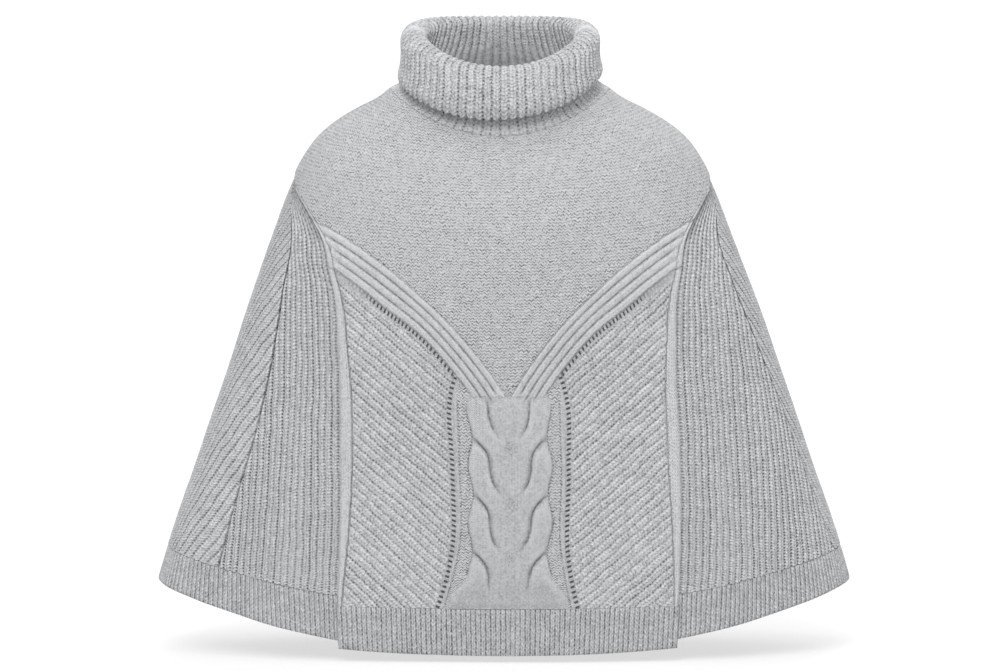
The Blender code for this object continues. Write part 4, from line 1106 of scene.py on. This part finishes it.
# Unevenness of the wool: how fine it is (waves in 10 m) and how much it counts.
NOISES = {
    "rib": (90, 0.3),
    "stitch": (260, 0.75),
    "moss": (40, 1.2),
    "moss_fine": (170, 1.1),
    "moss_aside": (80, 1.8),
    "moss_line": (520, 0.6),
    "dark_line": (160, 1.1),
    "heather": (430, 1.0),
    "patches": (45, 0.2),
    "fuzz": (1500, 0.3),
}
HEATHER_DETAIL = 3.0
CHANCE_SHADE = 0.15  # how much the stitches differ from each other
MEAN_SHADE = -0.655  # takes off what the unevenness adds on average
SPECKLE = 380.0
TIP_SPECKLE = 520.0
TIP_SHADE = 0.5
# The dark lines, mostly painted shade, and the paler rim beside each, a painted highlight:
LINE_LEAST = 0.45
LINE_SHADE = 0.5
LINE_RIM = 2.5  # mm beside a dark line, where its painted highlight lies
PAINTED_RIM_HIGHLIGHT = -0.1
# painted shade in hollows and painted light on crests, near the neckline and inside the roll neck
PAINTED_SHADING = 0.16
# painted shade seen in the eyelets' holes
HOLE_PAINTED_SHADE = 1.1
HOLE_DEPTH = -2.0
PLAINER = -0.8  # less painted shade and bump where the roll neck's stitches are hidden or stretched

# Between which two values of what it is made from a mark goes from none to full.
RAMPS = {
    "crease": (0.45, 0.95),
    "pit": (0.3, 0.9),
    "speckle": (0.45, 0.68),
    "moss": (0.15, 1.0),
    "hole_width": (1.3, 0.7),
    "hole_length": (0.5, 0.8),
    "line": (1.5, 0.1),
    "rim": (1.1, 0.2),
    "tip": (0.45, 0.7),
}


class Value:
    """A number at each place of a material. Arithmetic with it adds nodes."""

    def __init__(self, graph, socket):
        self.graph = graph
        self.socket = socket

    def __add__(self, other):
        return self.graph.math("ADD", self, other)

    def __sub__(self, other):
        return self.graph.math("SUBTRACT", self, other)

    def __rsub__(self, other):
        return self.graph.math("SUBTRACT", other, self)

    def __mul__(self, other):
        return self.graph.math("MULTIPLY", self, other)

    __radd__ = __add__
    __rmul__ = __mul__

    def beside(self, output):
        """Another output of the same node."""
        return Value(self.graph, self.socket.node.outputs[output])


class Graph:
    """A material's nodes."""

    def __init__(self, material):
        material.use_nodes = True
        self.nodes = material.node_tree.nodes
        self.links = material.node_tree.links
        self.surface = self.nodes["Principled BSDF"]

    def feed(self, socket, value):
        if isinstance(value, Value):
            self.links.new(value.socket, socket)
        else:
            socket.default_value = value

    def node(self, kind, output, inputs, **settings):
        """The output of a new node with these inputs and settings."""
        node = self.nodes.new("ShaderNode" + kind)
        for name, value in settings.items():
            setattr(node, name, value)
        for name, value in inputs.items():
            self.feed(node.inputs[name], value)
        return Value(self, node.outputs[output])

    def math(self, operation, *values, clamp=False):
        return self.node("Math", 0, dict(enumerate(values)), operation=operation, use_clamp=clamp)

    def wave(self, phase):
        """1 at each whole phase and 0 between."""
        return self.math("MULTIPLY_ADD", self.math("COSINE", phase * (2 * math.pi)), 0.5, 0.5)

    def ramp(self, value, low, high):
        inputs = {"Value": value, "From Min": low, "From Max": high}
        return self.node("MapRange", "Result", inputs, interpolation_type="SMOOTHSTEP")

    def mark(self, name, value):
        """How far a mark of RAMPS has come at a value."""
        return self.ramp(value, *RAMPS[name])

    def place(self, layer):
        """The two numbers of a UV layer."""
        uv = self.node("UVMap", "UV", {}, uv_map=layer)
        across = self.node("SeparateXYZ", "X", {0: uv})
        return across, across.beside("Y")

    def noise(self, scale, detail=2.0):
        where = self.node("TexCoord", "Object", {})
        return self.node("TexNoise", "Fac", {"Scale": scale, "Detail": detail, "Vector": where})

    def uneven(self, name, detail=2.0):
        scale, share = NOISES[name]
        return self.noise(scale, detail) * share

    def chance(self, across, along):
        """A random value for each stitch."""
        cell = self.node("CombineXYZ", 0, {0: self.math("FLOOR", across), 1: self.math("FLOOR", along)})
        return self.node("TexWhiteNoise", "Value", {"Vector": cell}, noise_dimensions="2D")


def rib_stitches(graph, across, along, kind):
    """V stitches up each ridge, with a dark pit beside each in the grooves: (height, darkness, chance). The
    darkness is painted shade in the grooves, pits and creases, with the knit's own tone and specks.
    """
    look = dict(zip(KNIT_COLUMNS, KNITS[kind]))
    vary, stitch = look["vary"], look["stitch"]
    across = across + graph.uneven("rib") - NOISES["rib"][1] / 2
    off = graph.math("PINGPONG", across, 0.5) * 2.0
    uneven = graph.uneven("stitch")
    along = along + graph.chance(across, 0.0) + uneven
    leg = graph.wave(along + off * look["lean"])
    crease = graph.mark("crease", graph.wave((across + 0.5) * STRANDS))
    groove = graph.ramp(off, 1 - look["width"], GROOVE_FULL)
    pit = groove * graph.mark("pit", graph.wave(along + PIT_LAG))
    by_chance = graph.chance(across, 7.0) * (2 * GROOVE_CHANCE * vary)
    strength = (GROOVE_STRENGTH - GROOVE_CHANCE * vary) + by_chance + uneven * GROOVE_UNEVEN
    height = leg * stitch + crease * (CREASE_HEIGHT * stitch) + pit * (PIT_HEIGHT * stitch)
    height = height + groove * -look["ridge"]
    # painted shade: darker in the grooves, their pits, between the legs and along the line between two
    # strands
    dark = (groove * look["groove"] + pit * look["pit"]) * strength
    dark = dark + (1.0 - leg) * look["leg"] * (LEG_REACH - groove)
    dark = dark + crease * strength * look["strand"] + look["shade"]
    dark = dark + graph.mark("speckle", graph.noise(SPECKLE)) * look["speckle"]
    return height, dark, graph.chance(across + 0.5, along)


def purl_stitches(graph, across, along):
    """Rows of small waves with dark lines of painted shade in the low places between, which aren't quite
    straight or even.
    """
    across = across * (1 / MOSS_WIDTH) + graph.uneven("moss_aside")
    stray = graph.uneven("moss") + graph.uneven("moss_fine")
    along = along * (1 / MOSS_HEIGHT) + stray + graph.math("PINGPONG", across, 0.5) * MOSS_ZIGZAG
    line = graph.mark("moss", graph.wave(along))
    chance = graph.chance(across * 2.0, along + 0.5)
    strength = MOSS_LEAST + chance * MOSS_CHANCE + graph.uneven("moss_line")
    return line * MOSS_HEIGHTS, line * strength * -MOSS_HEIGHTS + MOSS_SHADE, chance


def picked(share, first, second):
    return tuple(a + share * (b - a) for a, b in zip(first, second))


def panel_stitches(graph, slant):
    """The stitches of each zone of a panel and its eyelets: (height, darkness, chance, eyelets). The eyelets
    lie lower, and the wool paints shade in them.
    """
    zones = graph.node("VertexColor", "Color", {}, layer_name="zones")
    first = graph.node("SeparateColor", 0, {0: zones})
    in_ribs, in_band, in_cable = (graph.math("GREATER_THAN", first.beside(i), 0.5) for i in range(3))
    across, along = graph.place("knit")
    plain = across * (1 / PLAIN_WIDTH), along * (1 / PLAIN_HEIGHT)
    knit = picked(in_ribs, purl_stitches(graph, across, along), rib_stitches(graph, *slant, "chevron"))
    knit = picked(in_band, knit, rib_stitches(graph, slant[0] * BAND_STRANDS, slant[1], "strand"))
    height, dark, chance = picked(in_cable, knit, rib_stitches(graph, *plain, "smooth"))
    from_holes, down_holes = graph.place("holes")
    near = graph.mark("hole_width", graph.math("ABSOLUTE", from_holes))
    hole = near * graph.mark("hole_length", graph.wave(down_holes)) * zones.beside("Alpha")
    return height + hole * HOLE_DEPTH, dark, chance, hole


def dark_lines(graph, height, dark):
    """The height and darkness of a knit with its dark lines, mostly painted shade, each with a paler rim that
    is a painted highlight.
    """
    away, strength = graph.place("lines")
    away = graph.math("ABSOLUTE", away)
    line = graph.mark("line", away) * strength * (LINE_LEAST + graph.uneven("dark_line"))
    rim = graph.mark("rim", graph.math("ABSOLUTE", away - LINE_RIM)) * strength
    return height + line * -1.0, dark + line * LINE_SHADE + rim * PAINTED_RIM_HIGHLIGHT


def wool(name, kind=None):
    """Heathered wool: a ribbed knit, or a panel that picks its stitches from the zones of its piece. Its
    colour carries painted shade and painted light as well as the wool's own tone.
    """
    material = bpy.data.materials.new(name)
    graph = Graph(material)
    slant = graph.place("slant")
    hole = None
    if kind:
        height, dark, chance = rib_stitches(graph, *slant, kind)
    else:
        height, dark, chance, hole = panel_stitches(graph, slant)
    height, dark = dark_lines(graph, height, dark)
    heather = graph.uneven("heather", HEATHER_DETAIL) + graph.uneven("patches") + chance * CHANCE_SHADE
    painted_light_and_shade, special = graph.place("relief")
    if kind == "collar":
        plainer = 1.0 + special * PLAINER
        dark, height = dark * plainer, height * plainer
    elif not kind:
        dark = dark + special * graph.mark("tip", graph.noise(TIP_SPECKLE)) * TIP_SHADE
    # darkness of the colour: the wool's own heathered tone, with painted shade and painted light
    shade = dark + heather + painted_light_and_shade * PAINTED_SHADING + MEAN_SHADE
    # painted shade in the eyelets' holes
    if hole:
        shade = graph.math("MAXIMUM", shade, hole * HOLE_PAINTED_SHADE)
    shade = graph.math("ADD", shade, 0.0, clamp=True)
    colour = graph.node("Mix", "Result", {"Factor": shade, "A": PALE, "B": DEEP}, data_type="RGBA")
    bump = {"Strength": 1.0, "Distance": BUMP, "Height": height + graph.uneven("fuzz")}
    looks = {**SURFACE, "Base Color": colour, "Normal": graph.node("Bump", "Normal", bump)}
    for name, value in looks.items():
        graph.feed(graph.surface.inputs[name], value)
    return material


# Floor, light and camera

PHOTO_WIDTH = 1008  # pixels
PHOTO_SCALE = 1.2  # mm a pixel
VIEW_ELEVATION = math.radians(6.0)
VIEW_HEIGHT = -277.0  # what the middle of the photo shows, along its own upward direction
VIEW_DISTANCE = 20.0
SENSOR = 36.0
CLIP_END = 100.0
FLOOR_HEIGHT = -0.652
FLOOR_SIZE = 60.0
WHITE = (1.0, 1.0, 1.0, 1.0)
FLOOR_LOOK = {
    "Base Color": (0.3, 0.3, 0.3, 1.0),
    "Roughness": 0.9,
    "Emission Color": WHITE,
    "Emission Strength": 0.63,
}
SKY_STRENGTH = 0.66
LAMPS = (
    # name, where it shines from, width in degrees, strength
    ("key", (-0.6, -2.9, 2.2), 30.0, 1.6),
    ("fill", (1.6, -2.4, 1.0), 50.0, 0.35),
    ("top", (0.0, -0.9, 2.5), 30.0, 0.6),
    ("behind", (0.4, 2.4, 1.7), 40.0, 0.9),
)
LIT_POINT = (0.0, 0.0, -0.28)


def floor():
    bpy.ops.mesh.primitive_plane_add(size=FLOOR_SIZE, location=(0, 0, FLOOR_HEIGHT))
    plane = bpy.context.object
    plane.name = "floor"
    material = bpy.data.materials.new("pale_floor")
    material.use_nodes = True
    surface = material.node_tree.nodes["Principled BSDF"]
    for name, value in FLOOR_LOOK.items():
        surface.inputs[name].default_value = value
    plane.data.materials.append(material)
    plane.visible_diffuse = False


def aimed(thing, place, target):
    thing.location = place
    thing.rotation_euler = (Vector(target) - Vector(place)).to_track_quat("-Z", "Y").to_euler()


def lights():
    for name, place, width, strength in LAMPS:
        lamp = bpy.data.lights.new(name, "SUN")
        lamp.angle = math.radians(width)
        lamp.energy = strength
        aimed(placed(name, lamp), place, LIT_POINT)
    world = bpy.data.worlds.new("studio")
    world.use_nodes = True
    background = world.node_tree.nodes["Background"]
    background.inputs["Color"].default_value = WHITE
    background.inputs["Strength"].default_value = SKY_STRENGTH
    bpy.context.scene.world = world
    bpy.context.scene.view_settings.view_transform = "Standard"


def camera():
    eye = bpy.data.cameras.new("camera")
    eye.sensor_width = SENSOR
    eye.lens = SENSOR * VIEW_DISTANCE / (PHOTO_WIDTH * PHOTO_SCALE * MM)
    eye.clip_end = CLIP_END
    holder = placed("camera", eye)
    target = Vector((0.0, 0.0, VIEW_HEIGHT * MM / math.cos(VIEW_ELEVATION)))
    back = Vector((0.0, -math.cos(VIEW_ELEVATION), math.sin(VIEW_ELEVATION)))
    aimed(holder, target + back * VIEW_DISTANCE, target)
    bpy.context.scene.camera = holder


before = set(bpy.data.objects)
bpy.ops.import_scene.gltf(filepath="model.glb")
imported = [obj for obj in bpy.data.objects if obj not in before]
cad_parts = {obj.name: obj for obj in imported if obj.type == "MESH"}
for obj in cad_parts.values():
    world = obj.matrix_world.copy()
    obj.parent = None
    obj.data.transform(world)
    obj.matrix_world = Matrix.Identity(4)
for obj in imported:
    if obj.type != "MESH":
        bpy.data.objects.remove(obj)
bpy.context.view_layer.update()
knit_all()
floor()
lights()
camera()
